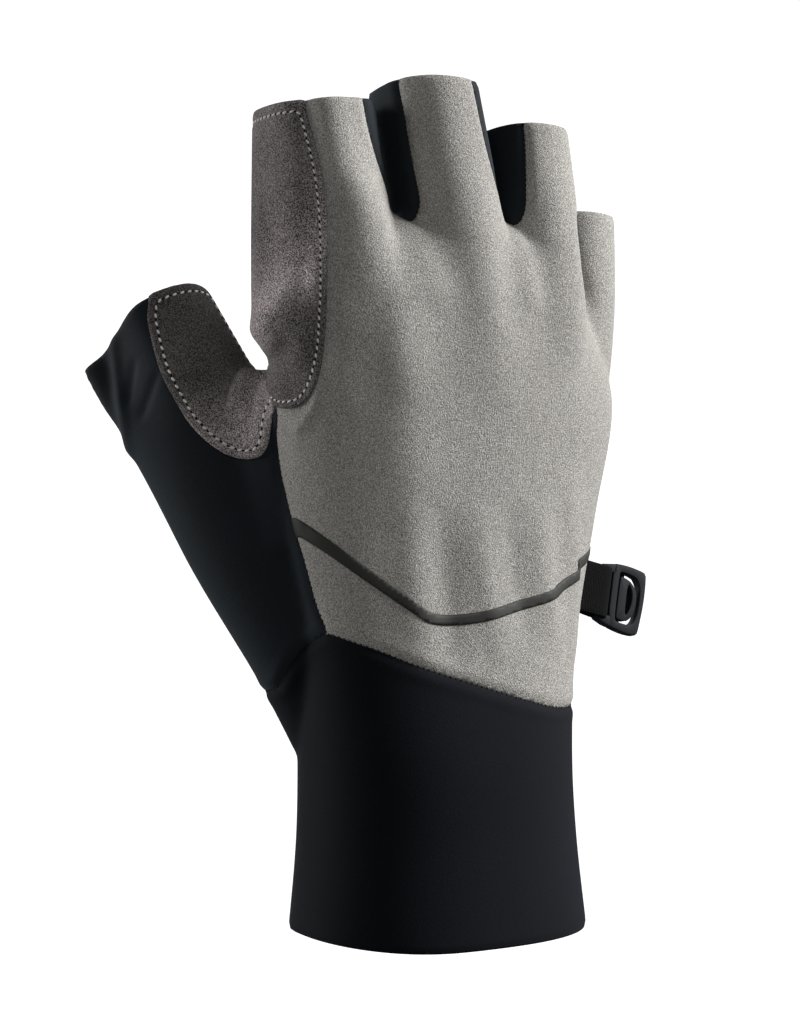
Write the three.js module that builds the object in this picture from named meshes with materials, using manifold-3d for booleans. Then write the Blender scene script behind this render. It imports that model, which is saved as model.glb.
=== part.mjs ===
// Fingerless hiking glove for the right hand, filled out as if worn, in millimetres.
// +Z runs from the cuff to the fingers, -Y is the back of the hand, -X the thumb side.
// The origin is the centre of the wrist opening.
import * as THREE from "three";
import { mergeVertices } from "three/addons/utils/BufferGeometryUtils.js";
import Module from "manifold-3d";

const wasm = await Module();
wasm.setup();

// Driving dimensions
const WALL = 1.6;
const PATCH_THICKNESS = 0.9;
const STRIPE_THICKNESS = 0.35;
const STRIPE_WIDTH = 2.4;
const GAP = 0.3;
const HALF_GAP = GAP / 2;
const PAST = 6;
const FAR = 90;
const MERGE = 1e-3;
const LAP = 0.02;

// Points round and along each tube
const HAND_SIDES = 44;
const HAND_STEPS = 13;
const FINGER_SIDES = 24;
const FINGER_STEPS = 6;
const THUMB_SIDES = 26;
const THUMB_STEPS = 9;
const FINGER_SQUARENESS = 2.5;
const THUMB_SQUARENESS = 2.3;

// Directions; the thumb stands in a plane turned from the back of the hand
const VIEW_TURN = THREE.MathUtils.degToRad(30);
const X = new THREE.Vector3(1, 0, 0);
const Y = new THREE.Vector3(0, 1, 0);
const Z = new THREE.Vector3(0, 0, 1);
const SIDE = new THREE.Vector3(Math.cos(VIEW_TURN), -Math.sin(VIEW_TURN), 0);
const NEAR = new THREE.Vector3(-Math.sin(VIEW_TURN), -Math.cos(VIEW_TURN), 0);

// Hand and cuff by level: centre, half width, half depth, squareness of the section
// and how far its two sides bend towards the palm
const HAND_ROWS = [
  { z: 0, x: 1.2, y: 0, width: 34.5, depth: 25.5, square: 2.2, arch: 0 },
  { z: 20, x: 0.9, y: 0, width: 32.5, depth: 24, square: 2.2, arch: 0 },
  { z: 40, x: 0.6, y: 0, width: 32, depth: 23, square: 2.2, arch: 0 },
  { z: 65, x: 1.3, y: 0, width: 33.6, depth: 20, square: 2.3, arch: 0.5 },
  { z: 92, x: 2.6, y: -0.5, width: 38.7, depth: 18, square: 2.4, arch: 2 },
  { z: 119, x: 3.8, y: -1.5, width: 42.2, depth: 17, square: 2.5, arch: 4.5 },
  { z: 140, x: 3.6, y: -2, width: 42.2, depth: 16, square: 2.6, arch: 6 },
  { z: 151.5, x: 3.6, y: -2, width: 39.6, depth: 14, square: 2.6, arch: 6 },
  { z: 157.2, x: 3.6, y: -2, width: 35.4, depth: 9, square: 2.4, arch: 5 },
];
const CAP_HEIGHT = 20;

// The wrist rim rises towards the thumb: height, and where across it starts and is reached
const CUFF_LIFT = { height: 2, start: -8, run: 26 };

// Soft folds on the back of the hand: place across, reach to each side, height, ends along Z
const FOLDS = [
  { x: 10, reach: 5, height: 0.7, from: 48, to: 86 },
  { x: 27, reach: 4.5, height: 0.9, from: 50, to: 104 },
  { x: -14, reach: 7, height: 0.8, from: 108, to: 160 },
  { x: 6, reach: 7, height: 0.8, from: 108, to: 160 },
  { x: 27, reach: 7, height: 0.7, from: 108, to: 160 },
];
const FOLD_FADE = 12;
const FOLD_BACK = 0.6;

// Finger sleeves from the root in the palm to past the rim, and the plane of each rim
const FINGERS = [
  {
    rows: [
      { x: -24, y: 1, z: 100, width: 11, depth: 11 },
      { x: -28, y: -0.5, z: 125, width: 12.9, depth: 14 },
      { x: -28.6, y: -1.2, z: 148, width: 14.2, depth: 14.6 },
      { x: -30.4, y: -0.9, z: 188, width: 11.9, depth: 13.4 },
    ],
    roll: 0,
    rim: { z: 180.9, tilt: 8 },
  },
  {
    rows: [
      { x: 1, y: -2, z: 100, width: 9, depth: 9 },
      { x: 3, y: -5, z: 125, width: 11.6, depth: 12.5 },
      { x: 0.8, y: -6, z: 148, width: 12.2, depth: 13 },
      { x: -7.6, y: -4, z: 194, width: 11.8, depth: 12.8 },
    ],
    roll: 0,
    rim: { z: 187.9, tilt: 4 },
  },
  {
    rows: [
      { x: 18, y: -1, z: 100, width: 8, depth: 9 },
      { x: 23.4, y: -4, z: 125, width: 10.8, depth: 12 },
      { x: 23.4, y: -4.5, z: 148, width: 10.6, depth: 12 },
      { x: 19.4, y: -3.2, z: 186, width: 10.4, depth: 11.4 },
    ],
    roll: 14,
    rim: { z: 180.3, tilt: 0 },
  },
  {
    rows: [
      { x: 29, y: 4, z: 90, width: 8, depth: 8 },
      { x: 36, y: 4, z: 115, width: 9.8, depth: 10.6 },
      { x: 40.6, y: 5.4, z: 140, width: 9.8, depth: 10.6 },
      { x: 43.2, y: 8.5, z: 170, width: 9.4, depth: 9.8 },
    ],
    roll: 24,
    rim: { z: 163, tilt: -4 },
  },
];

// Thumb sleeve: place across its plane and towards the viewer, height, half sizes,
// and how flat its outer edge is pinched
const THUMB_ROWS = [
  { s: -20.5, t: 0, z: 42, width: 11, depth: 15, pinch: 0 },
  { s: -27, t: 0, z: 66, width: 16.5, depth: 16.5, pinch: 0 },
  { s: -38.2, t: -1, z: 89, width: 18, depth: 15.5, pinch: 0 },
  { s: -51.6, t: -4, z: 111, width: 16.6, depth: 13, pinch: 0.1 },
  { s: -65, t: -8, z: 133, width: 15.8, depth: 11.5, pinch: 0.7 },
  { s: -73.4, t: -11, z: 148, width: 15.6, depth: 11, pinch: 0.78 },
].map(({ s, t, ...row }) => {
  const centre = SIDE.clone().multiplyScalar(s).addScaledVector(NEAR, t);
  return { x: centre.x, y: centre.y, ...row };
});
const THUMB_RIM = { s: -65, t: -8, z: 134.6, leanSide: -0.5, leanNear: -0.5, up: 0.8 };
const PINCH = { start: -0.72, run: 0.55 };

// Seam between cuff and hand, place across and height, near side then far side
const CUFF_NEAR = [
  [-60, 52], [-35.7, 52.2], [-32.7, 58.1], [-29.4, 63], [-26, 65.8], [-23.3, 67.2], [-18.3, 65.6],
  [-11.9, 63.6], [-3.4, 59.9], [7.4, 55.7], [18.6, 52.3], [31, 49], [60, 48.6],
];
const CUFF_FAR = [[-60, 52], [-35.7, 52.2], [31, 49], [60, 48.6]];

// Seam round the thumb, place across its plane and height
const THUMB_SEAM = [
  [-23.3, 67.2], [-25.2, 71.5], [-27, 76.2], [-28.8, 82.6], [-30.3, 89.1], [-31.4, 95.6],
  [-32.5, 102], [-34.1, 109.2], [-35.3, 116.1], [-37.8, 124], [-45.3, 133], [-45.3, 210],
  [-90, 210], [-90, 20], [-23.3, 20],
];

// Notches between the fingers seen from the back: left edge going down, right edge going up
const NOTCHES = [
  {
    name: "fourchette_index_middle",
    near: [
      [-27.3, 205], [-25.8, 180.6], [-24, 173], [-21.6, 167], [-19, 162.5], [-17.4, 159.3],
      [-15.8, 156.4], [-14, 155.2], [-12.5, 156], [-11.9, 159.6], [-12.6, 164], [-13.3, 169],
      [-14.3, 176], [-14.9, 180.6], [-15.8, 186], [-18, 205],
    ],
    far: [
      [-22.5, 205], [-21.4, 181], [-20, 170], [-18, 161], [-16.4, 156.4], [-14, 155.2],
      [-11.6, 156.4], [-11, 161], [-12.4, 170], [-14.9, 186], [-17, 205],
    ],
  },
  {
    name: "fourchette_middle_ring",
    near: [
      [-3, 205], [0.8, 186], [2.2, 180.2], [3.6, 173.2], [5.4, 166.8], [8.3, 160.6],
      [11.2, 156.9], [13.2, 155.3], [14.9, 156.4], [15.8, 160.5], [15.7, 167], [15.6, 173],
      [15.4, 177.6], [14.9, 181], [14, 205],
    ],
    far: [
      [0, 205], [3.6, 186], [5.4, 176], [7.6, 166], [9.6, 157.5], [11.8, 155.2],
      [14.2, 157.5], [14.4, 166], [13, 176], [12.2, 184], [10, 205],
    ],
  },
  {
    name: "fourchette_ring_little",
    near: [
      [30.2, 205], [31, 181], [32.2, 168], [33, 157], [33.8, 152], [35.2, 150],
      [36.6, 151.5], [37.4, 156], [37.6, 165], [37.4, 205],
    ],
    far: [
      [24, 205], [25, 181], [26.4, 168], [27.4, 157], [29, 151.5], [31.4, 149.6],
      [34, 151.5], [35.4, 156], [36.2, 165], [37, 205],
    ],
  },
];

// Seam between back and palm: place across and depth, closed round the back
const BACK_EDGE = [
  [-FAR, 1], [-40, 1], [-34, 0], [28, 0], [38, 8], [FAR, 10], [FAR, -FAR], [-FAR, -FAR],
];
const BACK_REACH = { from: -20, to: 220 };

// Suede patch round the thumb side of the index, seen from the back, and its palm side
const INDEX_PATCH_NEAR = [
  [-40.4, 205], [-40.4, 179.3], [-39.2, 171], [-38.1, 162.6], [-36.8, 155.3], [-35.8, 150],
  [-35.7, 139.6], [-35.9, 131.2], [-36.1, 120.8], [-36.9, 117.7], [-38.3, 115.6],
  [-39.9, 116.4], [-41.2, 119], [-42, 124], [-60, 125], [-60, 205],
];
const INDEX_PATCH_FAR = [[-36, 205], [-36, 130], [-38, 126], [-42, 125], [-60, 125], [-60, 205]];
const INDEX_PATCH_SPLIT = 3;

// Suede patch on the thumb, place across its plane and height
const THUMB_PATCH = [
  [-64.2, 170], [-63.9, 139.8], [-64.2, 136.3], [-63.5, 133.3], [-61.8, 127], [-60.3, 122.9],
  [-57.2, 117.3], [-53.6, 111.5], [-49.2, 107.5], [-45, 105], [-41, 104.8], [-38.4, 106],
  [-37, 109.1], [-36.4, 113.4], [-37, 118], [-36, 124], [-36, 170],
];
const THUMB_PATCH_DEPTH = 17;

// Stripe across the back of the hand: place across, height, share of the full width
const STRIPE = [
  [-35.7, 91.2, 0.7], [-34, 88.7, 0.8], [-32.2, 86.7, 0.95], [-26.1, 81, 1], [-18.4, 74.8, 1],
  [-13.8, 71.4, 1], [-12, 70.5, 1], [-7.5, 70, 1], [-0.1, 70.2, 1], [10.6, 71.9, 1],
  [21, 73.8, 1], [22, 75.1, 1], [30.2, 78.2, 1], [31.2, 81, 1], [39.6, 84, 0.9],
];
const STRIPE_END = 4;

// Clip: where its rail meets the strap, the way it points, and its outlines in its own plane
const CLIP_AT = new THREE.Vector3(47.4, -0.8, 73.4);
const CLIP_OUT = new THREE.Vector3(0.961, 0.012, -0.278).normalize();
const CLIP_UP = new THREE.Vector3(0.267, 0.176, 0.947).normalize();
const CLIP_FACE = CLIP_OUT.clone().cross(CLIP_UP);
const CLIP_THICKNESS = 2.2;
const CLIP_LOOP_THICKNESS = 1.5;
const CLIP_WEB_THICKNESS = 0.8;
const CLIP_OUTLINE = [
  [-3.4, -6.8], [-2.6, -7.3], [2, -7.8], [8, -7.6], [8.9, -7], [9.5, -4], [10, 0],
  [9.9, 4], [9.5, 6.6], [8.8, 7.3], [2, 7.7], [-2.6, 7.2], [-3.4, 6.7],
];
const CLIP_WINDOW = [
  [1.8, -5.5], [2.2, -6], [6.4, -6.1], [7.4, -5], [8.4, -3], [8.7, 0], [8.5, 3.4],
  [7.6, 5.2], [6.6, 6.1], [2.2, 6], [1.8, 5.5],
];
const CLIP_SLOT = { from: -6, to: 0.2, half: 6.35 };
const CLIP_BAR = { from: -3, to: -1.6, half: 6.6, thick: 0.8 };
const CLIP_LOOP = [
  [2.3, -5.1], [5.1, -5.3], [6.5, -4.3], [7.6, -2.6], [8.2, 0], [8, 2.4], [7.2, 4.2],
  [5.4, 5.3], [2.3, 5],
];
const CLIP_CRESCENT = [
  [5.1, -4.3], [6, -3.3], [6.7, -1.6], [6.9, 0.3], [6.7, 2], [6.1, 3.4], [5.1, 4.4],
];
const CLIP_WEB = { from: 1.2, to: 3, half: 4.4 };

// Strap: one folded length of webbing that turns round the clip's bar
const STRAP_HALF = 6.05;
const STRAP_LAYER = 0.8;
const STRAP_START = -16;
const STRAP_JOINED = -8.4;
const STRAP_TURN = { at: -2.3, radius: 1.4, steps: 8 };

// Colours, roughness and metalness
const LOOKS = {
  grey_stretch: { color: "#928f8c", roughness: 0.88, metalness: 0 },
  black_stretch: { color: "#17191c", roughness: 0.8, metalness: 0 },
  black_knit: { color: "#121417", roughness: 0.85, metalness: 0 },
  taupe_suede: { color: "#575352", roughness: 0.95, metalness: 0 },
  dark_film: { color: "#3f3f3d", roughness: 0.55, metalness: 0 },
  black_webbing: { color: "#141414", roughness: 0.9, metalness: 0 },
  grey_plastic: { color: "#37393d", roughness: 0.5, metalness: 0 },
};

// Smooth step from 0 to 1
function ease(t) {
  const held = Math.min(1, Math.max(0, t));
  return held * held * (3 - 2 * held);
}

// Closed body from a triangle geometry
function solidOf(geometry, tolerance = 1e-4) {
  geometry.deleteAttribute("normal");
  geometry.deleteAttribute("uv");
  const merged = mergeVertices(geometry, tolerance);
  return new wasm.Manifold(new wasm.Mesh({
    numProp: 3,
    vertProperties: new Float32Array(merged.attributes.position.array),
    triVerts: new Uint32Array(merged.index.array),
  }));
}

// Triangle geometry of a closed body
function geometryOf(solid) {
  const mesh = solid.getMesh();
  const geometry = new THREE.BufferGeometry();
  geometry.setAttribute("position", new THREE.BufferAttribute(new Float32Array(mesh.vertProperties), 3));
  geometry.setIndex(new THREE.BufferAttribute(new Uint32Array(mesh.triVerts), 1));
  return geometry;
}

// The largest single body of a solid, without the slivers a cut can leave
function whole(solid) {
  const bodies = solidOf(geometryOf(solid), MERGE).decompose();
  return bodies.reduce((a, b) => (a.volume() > b.volume() ? a : b));
}

// Closed ring of points round a bent superellipse, moved out by grow
function ring(centre, across, deep, row, square, sides, bend, grow) {
  const flat = [];
  for (let i = 0; i < sides; i++) {
    const turn = (2 * Math.PI * i) / sides;
    const c = Math.cos(turn);
    const s = Math.sin(turn);
    const u = row.width * Math.sign(c) * Math.abs(c) ** (2 / square);
    const v = row.depth * Math.sign(s) * Math.abs(s) ** (2 / square);
    flat.push(bend(u, v, row));
  }
  return flat.map(([u, v], i) => {
    const last = flat[(i + sides - 1) % sides];
    const next = flat[(i + 1) % sides];
    const du = next[0] - last[0];
    const dv = next[1] - last[1];
    const run = Math.hypot(du, dv);
    return centre.clone()
      .addScaledVector(across, u + (grow * dv) / run)
      .addScaledVector(deep, v - (grow * du) / run);
  });
}

// Closed body through a list of rings, capped at both ends
function loft(rings) {
  const sides = rings[0].length;
  const points = rings.flat();
  const faces = [];
  for (let k = 0; k + 1 < rings.length; k++) {
    for (let i = 0; i < sides; i++) {
      const a = k * sides + i;
      const b = k * sides + ((i + 1) % sides);
      faces.push(a, b, b + sides, a, b + sides, a + sides);
    }
  }
  for (const [k, top] of [[0, false], [rings.length - 1, true]]) {
    const middle = new THREE.Vector3();
    rings[k].forEach((point) => middle.add(point));
    const hub = points.push(middle.divideScalar(sides)) - 1;
    for (let i = 0; i < sides; i++) {
      const a = k * sides + i;
      const b = k * sides + ((i + 1) % sides);
      faces.push(...(top ? [a, b, hub] : [b, a, hub]));
    }
  }
  const geometry = new THREE.BufferGeometry();
  geometry.setAttribute("position", new THREE.Float32BufferAttribute(points.flatMap((p) => p.toArray()), 3));
  geometry.setIndex(faces);
  return solidOf(geometry);
}

// Rows between the table's rows, on a smooth curve through every column
function between(rows, steps) {
  const made = [];
  for (let k = 0; k <= steps; k++) {
    const at = (k / steps) * (rows.length - 1);
    const i = Math.min(Math.floor(at), rows.length - 2);
    const row = {};
    for (const name of Object.keys(rows[0])) {
      const near = [-1, 0, 1, 2].map((o) => rows[Math.max(0, Math.min(rows.length - 1, i + o))][name]);
      const curve = new THREE.SplineCurve(near.map((value, n) => new THREE.Vector2(n, value)));
      row[name] = curve.getPoint((1 + at - i) / 3).y;
    }
    made.push(row);
  }
  return made;
}

// How far the soft folds stand out at a place across and a level
function foldHeight(u, z) {
  let out = 0;
  for (const fold of FOLDS) {
    const along = ease((z - fold.from) / FOLD_FADE) * ease((fold.to - z) / FOLD_FADE);
    out += fold.height * along * Math.exp(-(((u - fold.x) / fold.reach) ** 2));
  }
  return out;
}

// Hand and cuff, carried on below the wrist rim by a length
function handForm(grow, below) {
  const top = HAND_ROWS.at(-1).z;
  const rings = between(HAND_ROWS, HAND_STEPS).map((row) => {
    const lift = grow * Math.max(0, 1 - (top - row.z) / CAP_HEIGHT);
    const bend = (u, v) => {
      const back = ease(-v / row.depth / FOLD_BACK);
      return [u, v + row.arch * (u / row.width) ** 2 - foldHeight(u, row.z) * back];
    };
    const centre = new THREE.Vector3(row.x, row.y, row.z + lift);
    return ring(centre, X, Y, row, row.square, HAND_SIDES, bend, grow);
  });
  for (const point of rings[0]) {
    point.z = CUFF_LIFT.height * Math.max(0, (CUFF_LIFT.start - point.x) / CUFF_LIFT.run) ** 2;
  }
  if (below > 0) {
    rings.unshift(rings[0].map((point) => point.clone().setZ(point.z - below)));
  }
  return loft(rings);
}

// Rings of a sleeve that follow the line of its centres
function sleeveRings(rows, steps, first, square, sides, grow, bend) {
  const levels = between(rows, steps);
  return levels.map((row, k) => {
    const a = levels[Math.max(0, k - 1)];
    const b = levels[Math.min(steps, k + 1)];
    const along = new THREE.Vector3(b.x - a.x, b.y - a.y, b.z - a.z).normalize();
    const across = first.clone().addScaledVector(along, -first.dot(along)).normalize();
    const deep = along.clone().cross(across);
    const centre = new THREE.Vector3(row.x, row.y, row.z);
    centre.addScaledVector(along, k === 0 ? -grow : 0);
    return ring(centre, across, deep, row, square, sides, bend, grow);
  });
}

// Block beyond a rim plane
function beyond(point, normal) {
  const geometry = new THREE.BoxGeometry(FAR, FAR, FAR).translate(0, 0, FAR / 2);
  geometry.applyQuaternion(new THREE.Quaternion().setFromUnitVectors(Z, normal));
  geometry.translate(point.x, point.y, point.z);
  return solidOf(geometry);
}

// One finger sleeve, cut at its rim unless it is left open
function fingerForm(finger, grow, open) {
  const roll = THREE.MathUtils.degToRad(finger.roll);
  const across = new THREE.Vector3(Math.cos(roll), Math.sin(roll), 0);
  const straight = (u, v) => [u, v];
  const made = loft(sleeveRings(
    finger.rows, FINGER_STEPS, across, FINGER_SQUARENESS, FINGER_SIDES, grow, straight,
  ));
  if (open) {
    return made;
  }
  const tilt = THREE.MathUtils.degToRad(finger.rim.tilt);
  const end = finger.rows.at(-1);
  const normal = new THREE.Vector3(-Math.sin(tilt), 0, Math.cos(tilt));
  return made.subtract(beyond(new THREE.Vector3(end.x, end.y, finger.rim.z), normal));
}

// The thumb sleeve, cut at its rim unless it is left open
function thumbForm(grow, open) {
  const pinched = (u, v, row) => {
    const full = ease((u / row.width - PINCH.start) / PINCH.run);
    return [u, v * (1 - row.pinch * (1 - full))];
  };
  const made = loft(sleeveRings(
    THUMB_ROWS, THUMB_STEPS, SIDE, THUMB_SQUARENESS, THUMB_SIDES, grow, pinched,
  ));
  if (open) {
    return made;
  }
  const centre = SIDE.clone().multiplyScalar(THUMB_RIM.s).addScaledVector(NEAR, THUMB_RIM.t);
  const normal = SIDE.clone().multiplyScalar(THUMB_RIM.leanSide).addScaledVector(NEAR, THUMB_RIM.leanNear);
  return made.subtract(beyond(centre.setZ(THUMB_RIM.z), normal.setZ(THUMB_RIM.up).normalize()));
}

// The whole outer form moved out by grow
function form(grow, past) {
  let made = handForm(grow, past).add(thumbForm(grow, past > 0));
  for (const finger of FINGERS) {
    made = made.add(fingerForm(finger, grow, past > 0));
  }
  return made;
}

// A closed outline moved out by a distance
function moved(outline, out) {
  const points = outline.map(([a, b]) => new THREE.Vector2(a, b));
  const turn = Math.sign(THREE.ShapeUtils.area(points));
  return points.map((point, i) => {
    const before = points[(i + points.length - 1) % points.length];
    const after = points[(i + 1) % points.length];
    const one = point.clone().sub(before).normalize();
    const two = after.clone().sub(point).normalize();
    const normal = new THREE.Vector2(one.y + two.y, -one.x - two.x).normalize();
    const spread = Math.max(0.5, normal.x * one.y - normal.y * one.x);
    const shift = normal.multiplyScalar((turn * out) / spread);
    return [point.x + shift.x, point.y + shift.y];
  });
}

// Prism of an outline in the plane of two axes, from one distance to another along the third
function prism(outline, across, up, from, to, holes = [], origin = new THREE.Vector3()) {
  const shape = new THREE.Shape(outline.map(([a, b]) => new THREE.Vector2(a, b)));
  for (const hole of holes) {
    shape.holes.push(new THREE.Path(hole.map(([a, b]) => new THREE.Vector2(a, b))));
  }
  const geometry = new THREE.ExtrudeGeometry(shape, { depth: to - from, bevelEnabled: false });
  geometry.translate(0, 0, from);
  const basis = new THREE.Matrix4().makeBasis(across, up, across.clone().cross(up));
  geometry.applyMatrix4(basis.setPosition(origin));
  return solidOf(geometry);
}

// Outline closed below a line of points
function under(line, floor) {
  return [...line, [line.at(-1)[0], floor], [line[0][0], floor]];
}

// Outline of a band along a line of points
function band(line, width) {
  const edge = (sign) => line.map(([a, b, share], i) => {
    const before = line[Math.max(0, i - 1)];
    const after = line[Math.min(line.length - 1, i + 1)];
    const run = Math.hypot(after[0] - before[0], after[1] - before[1]);
    const half = (sign * share * width) / 2 / run;
    return [a - (after[1] - before[1]) * half, b + (after[0] - before[0]) * half];
  });
  return [...edge(-1), ...edge(1).reverse()];
}

// Regions of the shell, each moved out by grow
function cuffRegion(grow) {
  const near = prism(moved(under(CUFF_NEAR, -FAR), grow), SIDE, Z, -LAP, FAR);
  return near.add(prism(moved(under(CUFF_FAR, -FAR), grow), SIDE, Z, -FAR, 0));
}
function thumbRegion(grow) {
  return prism(moved(THUMB_SEAM, grow), SIDE, Z, -FAR, FAR);
}
function notchRegion(notch, grow) {
  const near = prism(moved(notch.near, grow), X, Z, -LAP, FAR);
  return near.add(prism(moved(notch.far, grow), X, Z, -FAR, 0));
}
function backRegion(grow) {
  return prism(moved(BACK_EDGE, grow), X, Y, BACK_REACH.from, BACK_REACH.to);
}

// Panels cut from the shell
const shell = form(0, 0).subtract(form(-WALL, PAST));
const upper = shell.subtract(cuffRegion(HALF_GAP));
const notches = NOTCHES.map((notch) => notchRegion(notch, HALF_GAP)).reduce((a, b) => a.add(b));
const hand = upper.subtract(thumbRegion(HALF_GAP)).subtract(notches);
const parts = {
  cuff: [shell.intersect(cuffRegion(-HALF_GAP)), "black_knit"],
  back_panel: [hand.intersect(backRegion(-HALF_GAP)), "grey_stretch"],
  palm_panel: [hand.subtract(backRegion(HALF_GAP)), "taupe_suede"],
  thumb_sleeve: [upper.intersect(thumbRegion(-HALF_GAP)), "black_stretch"],
};
for (const notch of NOTCHES) {
  parts[notch.name] = [upper.intersect(notchRegion(notch, -HALF_GAP)), "black_stretch"];
}

// Overlays just off the shell
const clear = form(GAP, 0);
const patchOuter = GAP + PATCH_THICKNESS;
const indexOuter = handForm(patchOuter, 0).add(fingerForm(FINGERS[0], patchOuter, false));
const indexNear = prism(INDEX_PATCH_NEAR, X, Z, -INDEX_PATCH_SPLIT - LAP, FAR);
const indexRegion = indexNear.add(prism(INDEX_PATCH_FAR, X, Z, -FAR, -INDEX_PATCH_SPLIT));
parts.index_patch = [indexOuter.subtract(clear).intersect(indexRegion), "taupe_suede"];

const thumbPatchRegion = prism(THUMB_PATCH, SIDE, Z, -THUMB_PATCH_DEPTH, FAR);
const thumbOuter = thumbForm(patchOuter, false);
parts.thumb_patch = [thumbOuter.subtract(clear).intersect(thumbPatchRegion), "taupe_suede"];

const stripeRegion = prism(band(STRIPE, STRIPE_WIDTH), X, Z, -STRIPE_END, FAR);
const stripeOuter = handForm(GAP + STRIPE_THICKNESS, 0);
parts.stripe = [stripeOuter.subtract(clear).intersect(stripeRegion), "dark_film"];

// Clip in its own plane, its face towards the back of the hand
const clipBack = -CLIP_THICKNESS / 2;
function clipPiece(outline, from, to, holes = []) {
  return prism(outline, CLIP_OUT, CLIP_UP, from, to, holes, CLIP_AT);
}
function box({ from, to, half }) {
  return [[from, -half], [to, -half], [to, half], [from, half]];
}
const clip = clipPiece(CLIP_OUTLINE, clipBack, -clipBack, [CLIP_WINDOW])
  .subtract(clipPiece(box(CLIP_SLOT), -CLIP_THICKNESS, CLIP_THICKNESS))
  .add(clipPiece(box(CLIP_BAR), -CLIP_BAR.thick, CLIP_BAR.thick))
  .add(clipPiece(CLIP_LOOP, clipBack, clipBack + CLIP_LOOP_THICKNESS, [CLIP_CRESCENT]))
  .add(clipPiece(box(CLIP_WEB), clipBack, clipBack + CLIP_WEB_THICKNESS));
parts.clip = [clip, "grey_plastic"];

// Strap from the side of the hand, round the bar and back
function hairpin(radius, start) {
  const points = [[start, -radius]];
  for (let i = 0; i <= STRAP_TURN.steps; i++) {
    const turn = Math.PI * (i / STRAP_TURN.steps - 0.5);
    points.push([STRAP_TURN.at + radius * Math.cos(turn), radius * Math.sin(turn)]);
  }
  return [...points, [start, radius]];
}
const strapHollow = hairpin(STRAP_TURN.radius, STRAP_JOINED);
const strapOutline = hairpin(STRAP_TURN.radius + STRAP_LAYER, STRAP_START);
const strap = prism(
  strapOutline, CLIP_OUT, CLIP_FACE, -STRAP_HALF, STRAP_HALF, [strapHollow], CLIP_AT,
);
parts.strap = [strap.subtract(clear), "black_webbing"];

// The glove
const glove = new THREE.Group();
glove.name = "fingerless_hiking_glove";
for (const [name, [solid, look]] of Object.entries(parts)) {
  const material = new THREE.MeshStandardMaterial(LOOKS[look]);
  material.name = look;
  const mesh = new THREE.Mesh(geometryOf(whole(solid)), material);
  mesh.name = name;
  glove.add(mesh);
}
export default glove;
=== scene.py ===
"""Fingerless hiking glove for the right hand, filled out as if worn: the looks of every piece.

Metres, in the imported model's frame. +Z runs from the cuff to the fingers, -Y is the back of the hand and
-X the thumb side. Tables of sizes are in millimetres and are scaled where a mesh is made.
"""

import logging
import math
from dataclasses import dataclass, field
from enum import Enum, IntEnum
from typing import Callable, Iterable, Sequence

import bmesh
import bpy
import numpy as np
from mathutils import Matrix, Vector, kdtree

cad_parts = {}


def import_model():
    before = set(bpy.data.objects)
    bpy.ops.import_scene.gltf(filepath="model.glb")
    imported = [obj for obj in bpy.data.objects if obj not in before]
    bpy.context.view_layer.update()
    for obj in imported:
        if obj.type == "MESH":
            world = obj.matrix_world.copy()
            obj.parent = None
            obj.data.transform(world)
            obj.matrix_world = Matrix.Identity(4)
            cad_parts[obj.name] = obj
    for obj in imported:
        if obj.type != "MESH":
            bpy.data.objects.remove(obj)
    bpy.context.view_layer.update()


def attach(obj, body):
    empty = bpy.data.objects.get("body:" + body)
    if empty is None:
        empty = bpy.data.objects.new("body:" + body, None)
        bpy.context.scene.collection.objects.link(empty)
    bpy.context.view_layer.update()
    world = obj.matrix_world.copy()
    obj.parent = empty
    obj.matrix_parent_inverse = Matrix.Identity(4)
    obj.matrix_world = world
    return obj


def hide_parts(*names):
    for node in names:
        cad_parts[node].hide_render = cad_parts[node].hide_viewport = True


Array = np.ndarray
Field = Callable[[Array], Array]
BMesh = bmesh.types.BMesh
Vert = bmesh.types.BMVert
Edge = bmesh.types.BMEdge
Object = bpy.types.Object
Socket = bpy.types.NodeSocket
Pair = tuple[float, float]
Triple = tuple[float, float, float]
Sides = Colour = tuple[float, float, float, float]
Outline = tuple[Pair, ...]
Rows = tuple[tuple[float, ...], ...]

log = logging.getLogger("glove")

MM = 0.001
TO_METRES = Matrix.Scale(MM, 4)
# Name of the point attribute that holds the painted shade and painted light on the suede patches.
BODY = "root"
PAINTED_SHADE_ATTRIBUTE = "painted_shade"
TINY = 1e-9
FAR = 50.0

VIEW_TURN = math.radians(30)
SIDE = np.array([math.cos(VIEW_TURN), -math.sin(VIEW_TURN), 0.0])
NEAR = np.array([-math.sin(VIEW_TURN), -math.cos(VIEW_TURN), 0.0])
ACROSS = np.array([1.0, 0.0, 0.0])
BACK_VIEW = (0.0, -1.0, 0.0)
UP = np.array([0.0, 0.0, 1.0])
THUMB_BEHIND = 8.0
LITTLE_BEHIND = 9.0


def ease(value: Array) -> Array:
    """Smooth step from 0 to 1, where the value is how far along it is."""
    held = np.clip(value, 0.0, 1.0)
    return held * held * (3.0 - 2.0 * held)


def smooth_rows(rows: Array, steps: int) -> Array:
    """Rows between a table's rows, on a smooth curve through every column.

    Args:
        rows: The table, a row for each section.
        steps: How many steps the curve is cut into.

    Returns:
        The new rows, steps + 1 of them.
    """
    at = np.linspace(0, len(rows) - 1, steps + 1)
    first = np.minimum(at.astype(int), len(rows) - 2)
    t = (at - first)[:, None]
    a, b, c, d = (rows[np.clip(first + shift, 0, len(rows) - 1)] for shift in (-1, 0, 1, 2))
    bend, twist = 2 * a - 5 * b + 4 * c - d, 3 * b - a - 3 * c + d
    return 0.5 * (2 * b + (c - a) * t + bend * t ** 2 + twist * t ** 3)


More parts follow.
